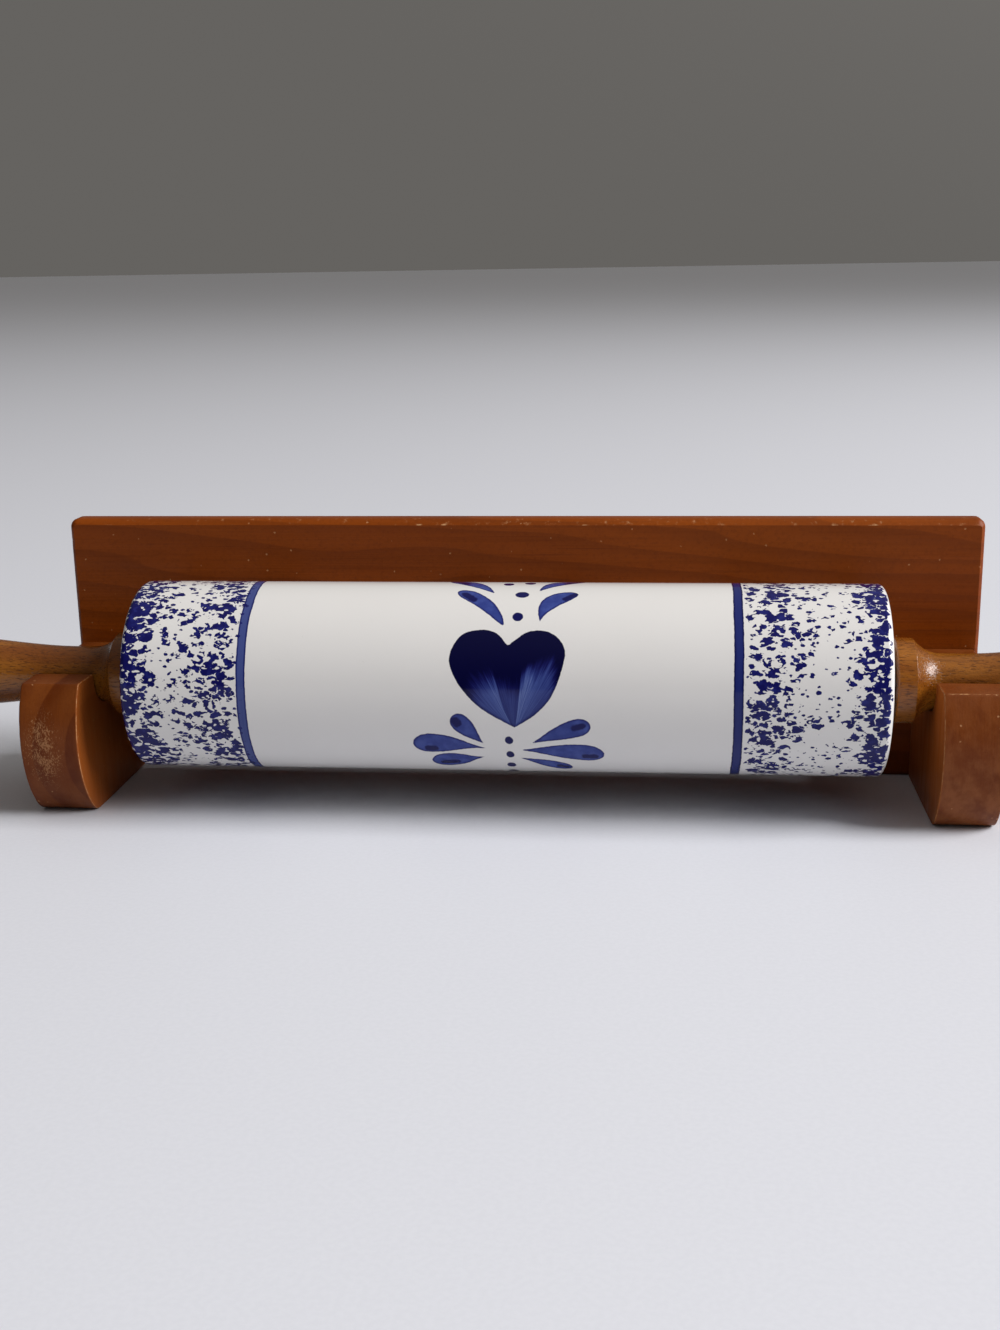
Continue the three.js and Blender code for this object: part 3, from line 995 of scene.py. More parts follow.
    def weathered(self, bench: Bench, colour: Socket) -> tuple[Socket, Socket]:
        """Rubs the edges, scatters pale nicks and, where there is one, lays the scratched patch.

        Args:
            bench: The material under construction.
            colour: Colour so far.

        Returns:
            Colour with the wear, and the share of bare wood.
        """
        broken = bench.noise(420.0, detail=4.0, rough=0.65)
        # On the brackets' inner edges this rubbed line is partly wear, partly a painted highlight.
        edge = bench.ease(bench.times_plus(broken, 0.9, bench.value("wear")), 0.95, 1.22)
        far, chance = bench.cells(bench.shaken(bench.place(), 900.0, 0.0008), 280.0)
        nick = bench.times(bench.ease(far, 0.12, 0.07), bench.ease(chance, self.whole, self.whole + 0.01))
        worn = bench.larger(edge, bench.times(nick, 0.62))
        if self.rubbed is not None:
            shift = tuple(-place * scale for place, scale in zip(self.rubbed, self.rub_size))
            spot = bench.scaled(self.rub_size, shift)
            far = bench.step("ShaderNodeVectorMath", spot, operation="LENGTH").outputs["Value"]
            uneven = bench.ease(bench.noise(260.0), 0.3, 0.6, 0.4, 1.0)
            patch = bench.times(bench.ease(far, 1.25, 0.1), uneven)
            scratch = bench.noise((2700.0, 1700.0, 1300.0), detail=3.0, rough=0.7)
            rub = bench.ease(bench.times_plus(patch, 0.24, scratch), 0.66, 0.75)
            worn = bench.larger(worn, bench.times(rub, bench.ease(patch, 0.0, 0.3, 0.0, 0.48)))
        return bench.mix(worn, colour, self.bare), worn


@dataclass(frozen=True)
class LacquerFinish:
    """Golden-brown turned hardwood under gloss lacquer, with dark pores drawn out along the turning.

    Attributes:
        dark: Pores and late wood.
        mid: Body colour.
        light: Early wood.
    """

    dark: Colour = (0.050, 0.012, 0.0015)
    mid: Colour = (0.165, 0.044, 0.0035)
    light: Colour = (0.285, 0.101, 0.0115)

    def material(self) -> Material:
        """Builds the lacquered wood.

        Returns:
            The finished material.
        """
        bench = Bench.material("golden_brown_lacquered_wood")
        figure = bench.noise((16.0, 85.0, 85.0), detail=3.0, rough=0.55, distortion=0.6)
        thread = bench.noise((45.0, 800.0, 800.0), detail=3.0, rough=0.6)
        pore = bench.noise((420.0, 2500.0, 2500.0), detail=2.0, rough=0.55)
        tooth = bench.noise((800.0, 1500.0, 1500.0))
        colour = bench.mix(bench.ease(figure, 0.3, 0.7), self.mid, self.light)
        colour = bench.mix(bench.ease(thread, 0.48, 0.8, 0.0, 0.5), colour, self.dark)
        dots = bench.ease(pore, 0.54, 0.66)
        colour = bench.mix(bench.times(dots, 0.7), colour, self.dark)
        rough = bench.ease(figure, 0.2, 0.9, 0.15, 0.21)
        relief = bench.bump(bench.minus(1.0, dots), strength=0.25, depth=0.0002)
        relief = bench.bump(tooth, strength=0.60, depth=0.0002, under=relief)
        return bench.finished(colour, rough, relief, Specular_IOR_Level=0.42)


@dataclass(frozen=True)
class MetalFinish:
    """Plated steel with turning marks, tarnish and small scratches.

    Attributes:
        name: Name of the material.
        bright: Clean plating.
        dull: Tarnished plating.
        rough: Roughness of the clean plating.
    """

    name: str
    bright: Colour
    dull: Colour
    rough: float

    def material(self) -> Material:
        """Builds the metal.

        Returns:
            The finished material.
        """
        bench = Bench.material(self.name)
        stain = bench.noise(160.0, detail=4.0, rough=0.6)
        colour = bench.mix(bench.ease(stain, 0.42, 0.7), self.bright, self.dull)
        rough = bench.ease(stain, 0.3, 0.75, self.rough, self.rough + 0.22)
        mark = bench.noise((2500.0, 300.0, 300.0))
        return bench.finished(colour, rough, bench.bump(mark, strength=0.15, depth=0.00008), Metallic=1.0)


@dataclass(frozen=True)
class NylonFinish:
    """Natural moulded nylon, slightly waxy.

    Attributes:
        pale: Clean colour.
        grey: Colour where it has picked up dust.
    """

    pale: Colour = (0.74, 0.71, 0.63)
    grey: Colour = (0.50, 0.47, 0.40)

    def material(self) -> Material:
        """Builds the nylon.

        Returns:
            The finished material.
        """
        bench = Bench.material("natural_nylon")
        dust = bench.noise(220.0, detail=4.0)
        colour = bench.mix(bench.ease(dust, 0.45, 0.75), self.pale, self.grey)
        rough = bench.ease(dust, 0.3, 0.8, 0.38, 0.6)
        return bench.finished(colour, rough, bench.bump(dust, strength=0.1, depth=0.0001))


# The pin


@dataclass(frozen=True)
class Drop:
    """A comma stroke on the unrolled barrel, as (along, around) in millimetres.

    The centre line is a bent line from tip to end. The half width swells from nothing at the tip to its
    most at the widest place, as a power of a sine, and rounds off like a circle at the end.

    Attributes:
        tip: Sharp end.
        end: Round end.
        width: Greatest half width.
        bend: Sideways bow of the centre line, as a share of its length.
        widest: Place of the greatest width, from 0 at the tip to 1.
        taper: Power of the sine.
    """

    tip: Spot
    end: Spot
    width: float
    bend: float = 0.0
    widest: float = 0.84
    taper: float = 1.45

    def distance(self, places: np.ndarray) -> np.ndarray:
        """Distance outside the stroke, negative inside: nearest of a row of discs along it.

        Args:
            places: Points on the unrolled barrel, shape (n, 2).

        Returns:
            Array of n distances.
        """
        discs = 60
        t = np.linspace(0.0, 1.0, discs)
        tip, end = np.array(self.tip), np.array(self.end)
        run = end - tip
        middle = (tip + end) / 2 + np.array([-run[1], run[0]]) * self.bend
        u = t[:, None]
        line = (1 - u) ** 2 * tip + 2 * u * (1 - u) * middle + u ** 2 * end
        swell = np.sin(np.pi / 2 * np.clip(t / self.widest, 0, 1)) ** self.taper
        cap = np.sqrt(np.clip(1 - (np.clip(t - self.widest, 0, 1) / (1 - self.widest)) ** 2, 0, 1))
        half = self.width * np.where(t < self.widest, swell, cap)
        away = np.full(len(places), np.inf)
        for centre, radius in zip(line, half):
            away = np.minimum(away, np.hypot(places[:, 0] - centre[0], places[:, 1] - centre[1]) - radius)
        return away


@dataclass(frozen=True)
class Motif:
    """Painted motif: a heart between comma strokes and dots, repeated on the barrel's far side.

    Attributes:
        heart_left: Anchors of the heart's left side, from the cleft to the tip.
        heart_right: Anchors of its right side, from the tip to the cleft.
        strokes: The comma strokes.
        dabs: Darker dabs in the strokes: middle, direction, half length and half width.
        dots: Round dots: middle and half sizes.
        centre: Place around the barrel about which the motif repeats.
        zone: Stretch along the barrel that holds the motif.
        far: Largest distance that is told apart.
    """

    heart_left: tuple[Spot, ...] = (
        (3.2, 18.4), (-0.8, 22.8), (-5.8, 23.9), (-12.0, 21.8), (-15.6, 14.2), (-12.8, 6.2), (-5.6, -2.0),
        (5.4, -9.0))
    heart_right: tuple[Spot, ...] = (
        (5.4, -9.0), (12.7, -3.7), (18.1, 3.3), (21.6, 14.5), (20.2, 20.0), (15.8, 23.4), (9.5, 23.2),
        (3.2, 18.4))
    strokes: tuple[Drop, ...] = (
        Drop((1.4, 25.7), (-14.0, 42.1), 2.9, -0.13, 0.80, 0.60),
        Drop((13.1, 26.9), (24.4, 40.6), 3.2, 0.36, 0.65, 1.10),
        Drop((-2.7, 41.3), (-18.0, 55.0), 2.8, -0.10, 0.80, 0.80),
        Drop((12.1, 42.7), (26.0, 55.5), 2.8, 0.20, 0.70, 0.90),
        Drop((-4.6, -16.3), (-13.4, -6.1), 3.2, 0.00, 0.85, 1.55),
        Drop((-2.6, -18.5), (-26.2, -16.2), 4.3, -0.08, 0.85, 1.95),
        Drop((-3.6, -22.4), (-20.3, -25.9), 4.4, 0.03, 0.85, 2.05),
        Drop((9.0, -16.4), (28.4, -8.0), 3.4, 0.06, 0.85, 1.70),
        Drop((4.6, -18.7), (32.4, -20.6), 4.2, 0.04, 0.85, 1.72),
        Drop((5.6, -22.8), (22.1, -30.2), 2.9, 0.05, 0.85, 1.50))
    dabs: tuple[tuple[Spot, Spot, float, float], ...] = (
        ((-10.7, 38.8), (-0.70, 0.71), 2.2, 1.2), ((22.6, 39.1), (0.75, 0.66), 2.2, 1.0),
        ((-14.0, 51.8), (-0.70, 0.71), 2.2, 1.1), ((22.4, 52.6), (0.72, 0.69), 2.2, 1.1),
        ((-13.6, -7.2), (-0.60, 0.80), 0.5, 1.4), ((-22.3, -18.4), (-1.00, 0.00), 1.1, 1.2),
        ((-16.8, -26.6), (-1.00, -0.15), 2.0, 1.2), ((25.9, -8.5), (0.95, 0.30), 1.4, 1.0),
        ((29.5, -21.7), (1.00, 0.00), 1.6, 1.1), ((20.4, -29.1), (0.90, -0.40), 1.2, 1.0))
    dots: tuple[tuple[Spot, Spot], ...] = (
        ((5.9, 29.1), (1.75, 1.85)), ((6.6, 40.3), (2.3, 1.9)), ((1.4, 49.8), (1.8, 1.8)),
        ((8.5, 51.4), (1.9, 1.9)), ((3.4, -14.2), (1.35, 1.75)), ((3.4, -21.2), (1.35, 1.85)),
        ((3.3, -28.6), (1.5, 1.95)), ((3.4, -36.2), (1.6, 1.8)), ((3.4, -43.5), (1.5, 1.6)))
    centre: float = 7.4
    zone: tuple[float, float] = (-33.0, 40.0)
    far: float = 6.0

    def outline(self) -> np.ndarray:
        """Closed outline of the heart: smooth curves through the anchors of its two sides.

        Returns:
            Array of points, the first not repeated.
        """
        steps = 12
        return np.vstack([through(side, steps)[:-1] for side in (self.heart_left, self.heart_right)])

    def heart(self, places: np.ndarray) -> np.ndarray:
        """Distance outside the heart, negative inside: nearest edge, signed by the edges a ray crosses.

        Args:
            places: Points on the unrolled barrel, shape (n, 2).

        Returns:
            Array of n distances.
        """
        start = self.outline()
        end = np.roll(start, -1, axis=0)
        nearest = np.full(len(places), np.inf)
        inside = np.zeros(len(places), bool)
        x, y = places.T
        for a, b in zip(start, end):
            run = b - a
            t = np.clip(((places - a) @ run) / (run @ run), 0, 1)
            nearest = np.minimum(nearest, np.hypot(*(places - a - t[:, None] * run).T))
            if a[1] != b[1]:
                crosses = (a[1] > y) != (b[1] > y)
                inside ^= crosses & (x < a[0] + (y - a[1]) / run[1] * run[0])
        return np.where(inside, -nearest, nearest)

    def values(self, along: np.ndarray, around: np.ndarray, period: float) -> dict[str, np.ndarray]:
        """Per-point values that the glaze reads.

        Args:
            along: Place along the barrel.
            around: Place around it, up from the front.
            period: Distance around after which the motif repeats.

        Returns:
            Distances to ink, dabs and heart, and the brush's fan and rise inside the heart.
        """
        local = (around - self.centre + period / 2) % period - period / 2 + self.centre
        near = (along > self.zone[0]) & (along < self.zone[1])
        spots = np.column_stack([along, local])[near]
        ink = np.full(len(spots), self.far)
        for stroke in self.strokes:
            ink = np.minimum(ink, stroke.distance(spots))
        dab = np.full(len(spots), self.far)
        for middle, toward, length, width in self.dabs:
            offset = spots - np.array(middle)
            t = np.clip(offset @ np.array(toward), -length, length)
            dab = np.minimum(dab, np.hypot(*(offset - t[:, None] * np.array(toward)).T) - width)
        for middle, sizes in self.dots:
            offset = (spots - np.array(middle)) / np.array(sizes)
            dot = (np.hypot(*offset.T) - 1) * min(sizes)
            ink, dab = np.minimum(ink, dot), np.minimum(dab, dot)
        tip = np.array(self.heart_left[-1])
        top = max(place[1] for place in self.heart_left)
        over, blunt = spots - tip, 1.5
        fan = np.arctan2(over[:, 0], np.maximum(over[:, 1], 0.0) + blunt)
        rise = over[:, 1] / (top - tip[1])
        distances = {"ink": ink, "dab": dab, "heart": self.heart(spots), "fan": fan, "rise": rise}
        full = {}
        for key, numbers in distances.items():
            full[key] = np.full(len(along), 0.0 if key in ("fan", "rise") else self.far)
            full[key][near] = np.clip(numbers, -self.far, self.far)
        return full


@dataclass
class Pin:
    """The rolling pin: barrel, bushes, rod, washers and handles, about one axis along X.

    Attributes are lengths and radii in millimetres, the axis' place included. Those that end in sides are
    steps round the axis.
    """

    axis_y: float
    axis_z: float
    gap: float = 0.3
    barrel_half: float = 125.0
    barrel_radius: float = 32.0
    barrel_wall: float = 5.5
    barrel_sides: int = 360
    end_wall: float = 7.0
    rim_round: float = 2.2
    cavity_round: float = 4.0
    paint_step: float = 0.6
    rod_radius: float = 3.2
    rod_point: float = 0.8
    rod_sides: int = 36
    thread_length: float = 34.0
    thread_depth: float = 0.28
    thread_pitch: float = 1.25
    grip_depth: float = 45.0
    spigot_radius: float = 7.5
    spigot_length: float = 9.0
    flange_radius: float = 11.0
    flange_thickness: float = 1.4
    flange_edge: float = 0.4
    flange_break: float = 0.2
    washer_radius: float = 9.0
    washer_thickness: float = 1.2
    washer_edge: float = 0.35
    washer_break: float = 0.1
    ring_sides: int = 72
    collar_radius: float = 14.2
    collar_length: float = 6.2
    collar_edge: float = 0.6
    collar_crest: float = 0.35
    cove_length: float = 9.6
    neck_radius: float = 9.1
    neck_length: float = 6.2
    grip_radius: float = 12.6
    swell_length: float = 50.0
    end_length: float = 17.0
    handle_sides: int = 120
    motif: Motif = field(default_factory=Motif)

    @property
    def bore(self) -> float:
        """Radius of the holes that the rod goes through."""
        return self.rod_radius + self.gap

    @property
    def bush_start(self) -> float:
        """Place of a bush's flange along the pin."""
        return self.barrel_half + self.gap

    @property
    def washer_start(self) -> float:
        """Place of a washer along the pin."""
        return self.bush_start + self.flange_thickness + self.gap

    @property
    def collar_start(self) -> float:
        """Place of a handle's collar along the pin."""
        return self.washer_start + self.washer_thickness + self.gap

    def placed(self, surface: Surface, side: Side, start: float) -> Surface:
        """Puts a turning at a place along the pin, facing its end."""
        return surface.moved(x=start).facing(side).moved(y=self.axis_y, z=self.axis_z)

    def barrel_outline(self) -> np.ndarray:
        """Closed outline of the shell: rims rounded outside, cavity rounded inside, dense along the motif.

        Returns:
            Array of (along, radius), closed on itself.
        """
        half, r, edge, inner = self.barrel_half, self.barrel_radius, self.rim_round, self.cavity_round
        mouth = self.spigot_radius + self.gap
        plain_steps, rim_steps, cavity_steps = 24, 9, 6
        start, end = self.motif.zone
        left = np.linspace(edge - half, start, plain_steps, endpoint=False)[1:]
        right = np.linspace(end, half - edge, plain_steps)[:-1]
        run = np.concatenate([left, np.arange(start, end, self.paint_step), right])
        cavity = half - self.end_wall
        wall = r - self.barrel_wall
        return np.vstack([
            [[-half, mouth], [-half, (mouth + r) / 2]],
            arc((edge - half, r - edge), edge, -2 * QUARTER, -3 * QUARTER, rim_steps),
            np.column_stack([run, np.full(len(run), r)]),
            arc((half - edge, r - edge), edge, QUARTER, 0.0, rim_steps),
            [[half, (mouth + r) / 2], [half, mouth], [cavity, mouth]],
            arc((cavity - inner, wall - inner), inner, 0.0, QUARTER, cavity_steps),
            arc((inner - cavity, wall - inner), inner, QUARTER, 2 * QUARTER, cavity_steps),
            [[-cavity, mouth], [-half, mouth]]])

    def handle_outline(self) -> np.ndarray:
        """Handle from the bottom of the rod's hole: collar, cove, neck, swelling grip, rounded end.

        Returns:
            Array of (along, radius), counted from the collar's face.
        """
        hole, hole_end = self.bore, self.grip_depth + self.gap
        collar, neck, grip = self.collar_radius, self.neck_radius, self.grip_radius
        length, edge = self.collar_length, self.collar_edge
        cove_end = length + self.cove_length
        swell = cove_end + self.neck_length
        belly = swell + self.swell_length
        tip = belly + self.end_length
        third = self.swell_length / 3
        cove = bezier([(length, collar), (length + self.cove_length / 5, (collar + neck) / 2),
                       (length + self.cove_length / 2, neck), (cove_end, neck)], steps=26)[2:]
        along_neck = np.linspace(cove_end, swell, 6)[1:-1]
        round_end = [(belly, grip), (belly + self.end_length / 2, grip), (tip, grip * 2 / 3), (tip, 0.0)]
        return np.vstack([
            [[hole_end, 0.0], [hole_end, hole], [0.0, hole], [0.0, (hole + collar) / 2]],
            arc((edge, collar - edge), edge, 2 * QUARTER, QUARTER, steps=6),
            [[length / 3, collar], [length * 2 / 3, collar]],
            filleted((length, collar), (0.0, collar), tuple(cove[0]), self.collar_crest, steps=5),
            cove,
            np.column_stack([along_neck, np.full(len(along_neck), neck)]),
            bezier([(swell, neck), (swell + third, neck), (belly - third, grip), (belly, grip)], steps=40),
            bezier(round_end, steps=30)[1:]])

    def build(self) -> None:
        """Makes every piece of the pin and dresses it."""
        steel = MetalFinish("zinc_plated_steel", (0.62, 0.63, 0.64), (0.36, 0.36, 0.36), 0.28).material()
        nylon = NylonFinish().material()
        wood = LacquerFinish().material()
        self.build_barrel()
        for side in Side:
            self.build_bush(side, nylon)
            self.build_washer(side, steel)
            self.build_handle(side, wood)
        self.build_rod(steel)

    def build_barrel(self) -> None:
        """Makes the barrel and gives each point its distances to the painted motif."""
        shell = turned(self.barrel_outline(), self.barrel_sides)
        x, y, z = shell.points.T
        around = self.barrel_radius * np.arctan2(z, -y)
        shell.values = self.motif.values(x, around, math.pi * self.barrel_radius)
        inside = np.hypot(y, z) < self.barrel_radius - self.rim_round
        for key in ("ink", "dab", "heart"):
            shell.values[key] = np.where(inside, self.motif.far, shell.values[key])
        placed = shell.moved(y=self.axis_y, z=self.axis_z)
        placed.piece("glazed_barrel", Body.ROLLER, Slot.GLAZE, GlazeFinish().material(), "barrel")

    def build_bush(self, side: Side, finish: Material) -> None:
        """Makes one flanged bush, its edges rounded.

        Args:
            side: End of the pin.
            finish: Its material.
        """
        spigot, length = self.spigot_radius, self.spigot_length
        flange, thick = self.flange_radius, self.flange_thickness
        edge, small = self.flange_edge, self.flange_break
        outline = np.vstack([
            [[-length, self.bore]],
            arc((edge - length, spigot - edge), edge, 2 * QUARTER, QUARTER, steps=4),
            [[0.0, spigot], [0.0, flange - small], [small, flange]],
            arc((thick - edge, flange - edge), edge, QUARTER, 0.0, steps=5),
            [[thick, self.bore], [-length, self.bore]]])
        bush = self.placed(turned(outline, self.ring_sides), side, self.bush_start)
        bush.piece(f"{side.label}_flanged_bush", Body.ROLLER, Slot.NYLON, finish, f"{side.label}_bush")

    def build_washer(self, side: Side, finish: Material) -> None:
        """Makes one stamped washer, rounded on the edge that the punch left.

        Args:
            side: End of the pin.
            finish: Its material.
        """
        rim, thick = self.washer_radius, self.washer_thickness
        edge, small = self.washer_edge, self.washer_break
        outline = np.vstack([
            [[0.0, self.bore], [0.0, rim - small], [small, rim]],
            arc((thick - edge, rim - edge), edge, QUARTER, 0.0, steps=5),
            [[thick, self.bore], [0.0, self.bore]]])
        washer = self.placed(turned(outline, self.ring_sides), side, self.washer_start)
        washer.piece(f"{side.label}_plain_washer", Body.SPINDLE, Slot.STEEL, finish, f"{side.label}_washer")

    def build_handle(self, side: Side, finish: Material) -> None:
        """Makes one turned handle.

        Args:
            side: End of the pin.
            finish: Its material.
        """
        handle = self.placed(turned(self.handle_outline(), self.handle_sides), side, self.collar_start)
        name = f"{side.label}_turned_handle"
        handle.piece(name, Body.SPINDLE, Slot.HANDLE_WOOD, finish, f"{side.label}_handle")

    def build_rod(self, finish: Material) -> None:
        """Makes the tie rod with a rolled thread on each end: radius less a wave of its length.

        Args:
            finish: Its material.
        """
        half, point = self.collar_start + self.grip_depth, self.rod_radius - self.rod_point
        rows, end_rows = 701, 6
        at = np.linspace(-half, half, rows)
        wave = threaded(at, self.thread_depth, self.thread_pitch)
        thread = np.where(np.abs(at) > half - self.thread_length, wave, 0.0)
        body = np.column_stack([at, self.rod_radius - thread])[end_rows:-end_rows]
        outline = np.vstack([[[-half, 0.0], [-half, point]], body, [[half, point], [half, 0.0]]])
        rod = turned(outline, self.rod_sides).moved(y=self.axis_y, z=self.axis_z)
        rod.piece("threaded_tie_rod", Body.SPINDLE, Slot.STEEL, finish, "tie_rod")


# The holder


@dataclass
class Holder:
    """The wall holder: board, brackets, screws and hangers. Lengths in millimetres, Y counted from the pin.

    Attributes:
        axis_y: Place of the pin's axis in the frame.
        axis_z: Height of that axis.
        seat_radius: Radius of the handle where it lies in the saddle.
    """

    axis_y: float
    axis_z: float
    seat_radius: float = 9.55
    gap: float = 0.3
    board_front: float = 35.6
    board_thickness: float = 10.0
    board_height: float = 93.0
    board_half: float = 163.1
    board_ease: float = 2.2
    board_corner: float = 2.6
    board_step: float = 0.9
    board_seed: int = 41
    bracket_middle: float = 151.1
    bracket_thickness: float = 20.0
    bracket_edge: float = 0.55
    bracket_step: float = 0.55
    bracket_seeds: tuple[int, int] = (17, 29)
    heel_round: float = 1.2
    mouth_round: float = 1.3
    lip_round: float = 0.9
    toe_round: float = 9.0
    saddle_clearance: float = 1.2
    lip_rise: float = 2.4
    lip_depth: float = 14.0
    bow_radius: float = 37.0
    toe_reach: float = 17.0
    screw_levels: tuple[float, float] = (12.0, 32.0)
    screw_length: float = 30.0
    screw_radius: float = 2.0
    screw_head: float = 4.0
    screw_head_height: float = 2.2
    screw_recess: float = 0.3
    screw_tip: float = 5.0
    screw_neck: float = 6.0
    thread_depth: float = 0.45
    thread_pitch: float = 1.6
    cross_reach: float = 2.1
    cross_half: float = 0.55
    cross_depth: float = 1.4
    hole_floor: float = 1.5
    hanger_spacing: float = 190.0
    hanger_drop: float = 12.0
    hanger_height: float = 9.0
    hanger_thickness: float = 0.9
    hanger_rise: float = 1.3
    hanger_corner: float = 2.5
    hanger_edge: float = 0.16
    tooth_count: int = 9
    tooth_pitch: float = 2.7
    tooth_depth: float = 1.8
    joggle: float = 2.0
    tab_length: float = 8.0
    nail_length: float = 7.0
    nail_radius: float = 0.8
    nail_head: float = 2.2
    nail_head_rise: float = 1.0

    @property
    def board_back(self) -> float:
        """Place of the board's back, counted from the pin."""
        return self.board_front + self.board_thickness

    @property
    def bracket_top(self) -> float:
        """Height of the brackets' flat tops."""
        return self.axis_z + self.lip_rise

    @property
    def lip(self) -> float:
        """Place of the brackets' upper front corner, counted from the pin."""
        return -self.seat_radius - self.saddle_clearance - self.lip_depth

    @property
    def toothed_half(self) -> float:
        """Half length of a hanger's row of teeth."""
        return self.tooth_count * self.tooth_pitch / 2

    def build(self) -> None:
        """Makes every piece of the holder and dresses it."""
        steel = MetalFinish("zinc_plated_screw", (0.66, 0.64, 0.58), (0.34, 0.32, 0.28), 0.30).material()
        brassed = MetalFinish("thin_brass_plating", (0.62, 0.46, 0.17), (0.30, 0.21, 0.09), 0.30).material()
        self.build_board()
        for side in Side:
            self.build_bracket(side)
            for level, word in zip(self.screw_levels, ("lower", "upper")):
                self.build_screw(side, level, word, steel)
            self.build_hanger(side, brassed)
            for end, word in ((-side.value, "inner"), (side.value, "outer")):
                self.build_hanger_pin(side, end, word, brassed)

    def build_board(self) -> None:
        """Makes the board: a rounded rectangle carried forwards, eased in front, drilled at the back.

        The front edge is a chamfer, broken by dents, and the back edge a round. Both are larger along
        the top.
        """
        corner, thick = self.board_corner, self.board_thickness
        across, up = self.board_half - corner, self.board_height - corner
        middles = ((across, corner), (across, up), (-across, up), (-across, corner))
        rounds = [arc(middle, corner, (turn - 1) * QUARTER, turn * QUARTER, steps=8)
                  for turn, middle in enumerate(middles)]
        outline = evened(np.vstack(rounds), self.board_step)
        count = len(outline)
        rng = np.random.default_rng(self.board_seed)
        dents = nicks(count, number=26, width=1.2, rng=rng)
        worn = 0.94 + 0.015 * wander(count, knots=90, rng=rng)
        worn += 0.02 * wander(count, knots=300, rng=rng) + 0.16 * dents
        upward = np.maximum(-inward(outline)[:, 1], 0.0)
        back_round, more_on_top = 0.5, 1.9
        inset_back, drop_back = eased(back_round + more_on_top * upward, steps=7)
        reach = self.board_ease * worn * (0.6 + 0.6 * upward)
        inset, drop = chamfered(np.minimum(reach, corner - 0.5), steps=8)
        support = 0.2
        insets = np.vstack([inset_back[-1] + support, inset_back[::-1], np.zeros((2, count)), inset,
                            inset[-1] + support])
        level = np.ones((1, count)) * thick
        depths = np.vstack([drop_back[-1], drop_back[::-1], 0.35 * level, 0.6 * level, thick - drop, level])
        slab = ringed(outline, insets, depths, caps=False)
        wear = np.zeros(insets.shape)
        wear[len(inset_back) + 1:-1] = 0.44 * upward
        wear[-3:-1] += np.array([[0.1], [0.45]]) * dents
        slab.values["wear"] = wear.reshape(-1)
        board = self.drilled(slab, count)
        x, z, depth = board.points.T
        board.points = np.column_stack([x, self.axis_y + self.board_back - depth, z])
        finish = StainFinish("stained_board", Grain.BOARD).material()
        board.piece("stained_back_board", Body.HOLDER, Slot.HOLDER_WOOD, finish, "back_board")

    def drilled(self, slab: Surface, count: int) -> Surface:
        """Closes the board's back around four countersunk holes.

        Each hole is a turning: straight mouth, cone and shank. The flat around the mouths is three faces,
        parted on either side by a line that runs down through the middles of the holes.

        Args:
            slab: Board without its back, the first ring being the back's edge.
            count: Points in that ring.

        Returns:
            The closed board.
        """
        sides = 40
        mouth = self.screw_head + self.gap
        shank = self.screw_radius + self.gap
        cone_end = self.screw_recess + self.screw_head_height
        bottom = self.board_thickness - self.hole_floor
        depth = np.array([0.0, self.screw_recess, cone_end, bottom])[:, None]
        radius = np.array([mouth, mouth, shank, shank])[:, None]
        angle = np.arange(sides) * 2 * np.pi / sides
        points, faces = [slab.points], list(slab.faces)
        total = len(slab.points)
        ring = slab.points[:count]
        high = ring[:, 1] > self.board_height / 2
        cuts = {}
        for side in Side:
            middle = side.value * self.bracket_middle
            far = np.abs(ring[:, 0] - middle)
            above, below = (int(np.argmin(np.where(part, far, np.inf))) for part in (high, ~high))
            down, up = [], []
            for level in sorted(self.screw_levels, reverse=True):
                grid = np.stack([middle + radius * np.cos(angle), level + radius * np.sin(angle),
                                 np.repeat(depth, sides, axis=1)], axis=-1)
                number = total + np.arange(grid[..., 0].size).reshape(-1, sides)
                faces += banded(number).tolist() + [number[-1].tolist()]
                points.append(grid.reshape(-1, 3))
                total += number.size
                from_top = np.roll(number[0], -sides // 4).tolist()
                down += from_top[:1] + from_top[:sides // 2 - 1:-1]
                up = from_top[sides // 2::-1] + up
            cuts[side] = (above, below, down, up)
        right_above, right_below, right_down, right_up = cuts[Side.RIGHT]
        left_above, left_below, left_down, left_up = cuts[Side.LEFT]
        edge = list(range(count))
        flats = [edge[right_below:] + edge[:right_above + 1] + right_down,
                 edge[right_above:left_above + 1] + left_down + edge[left_below:right_below + 1] + right_up,
                 edge[left_above:left_below + 1] + left_up]
        wear = np.concatenate([slab.values["wear"], np.zeros(total - len(slab.points))])
        return Surface(np.vstack(points), faces + [flat[::-1] for flat in flats], {"wear": wear}, len(flats))

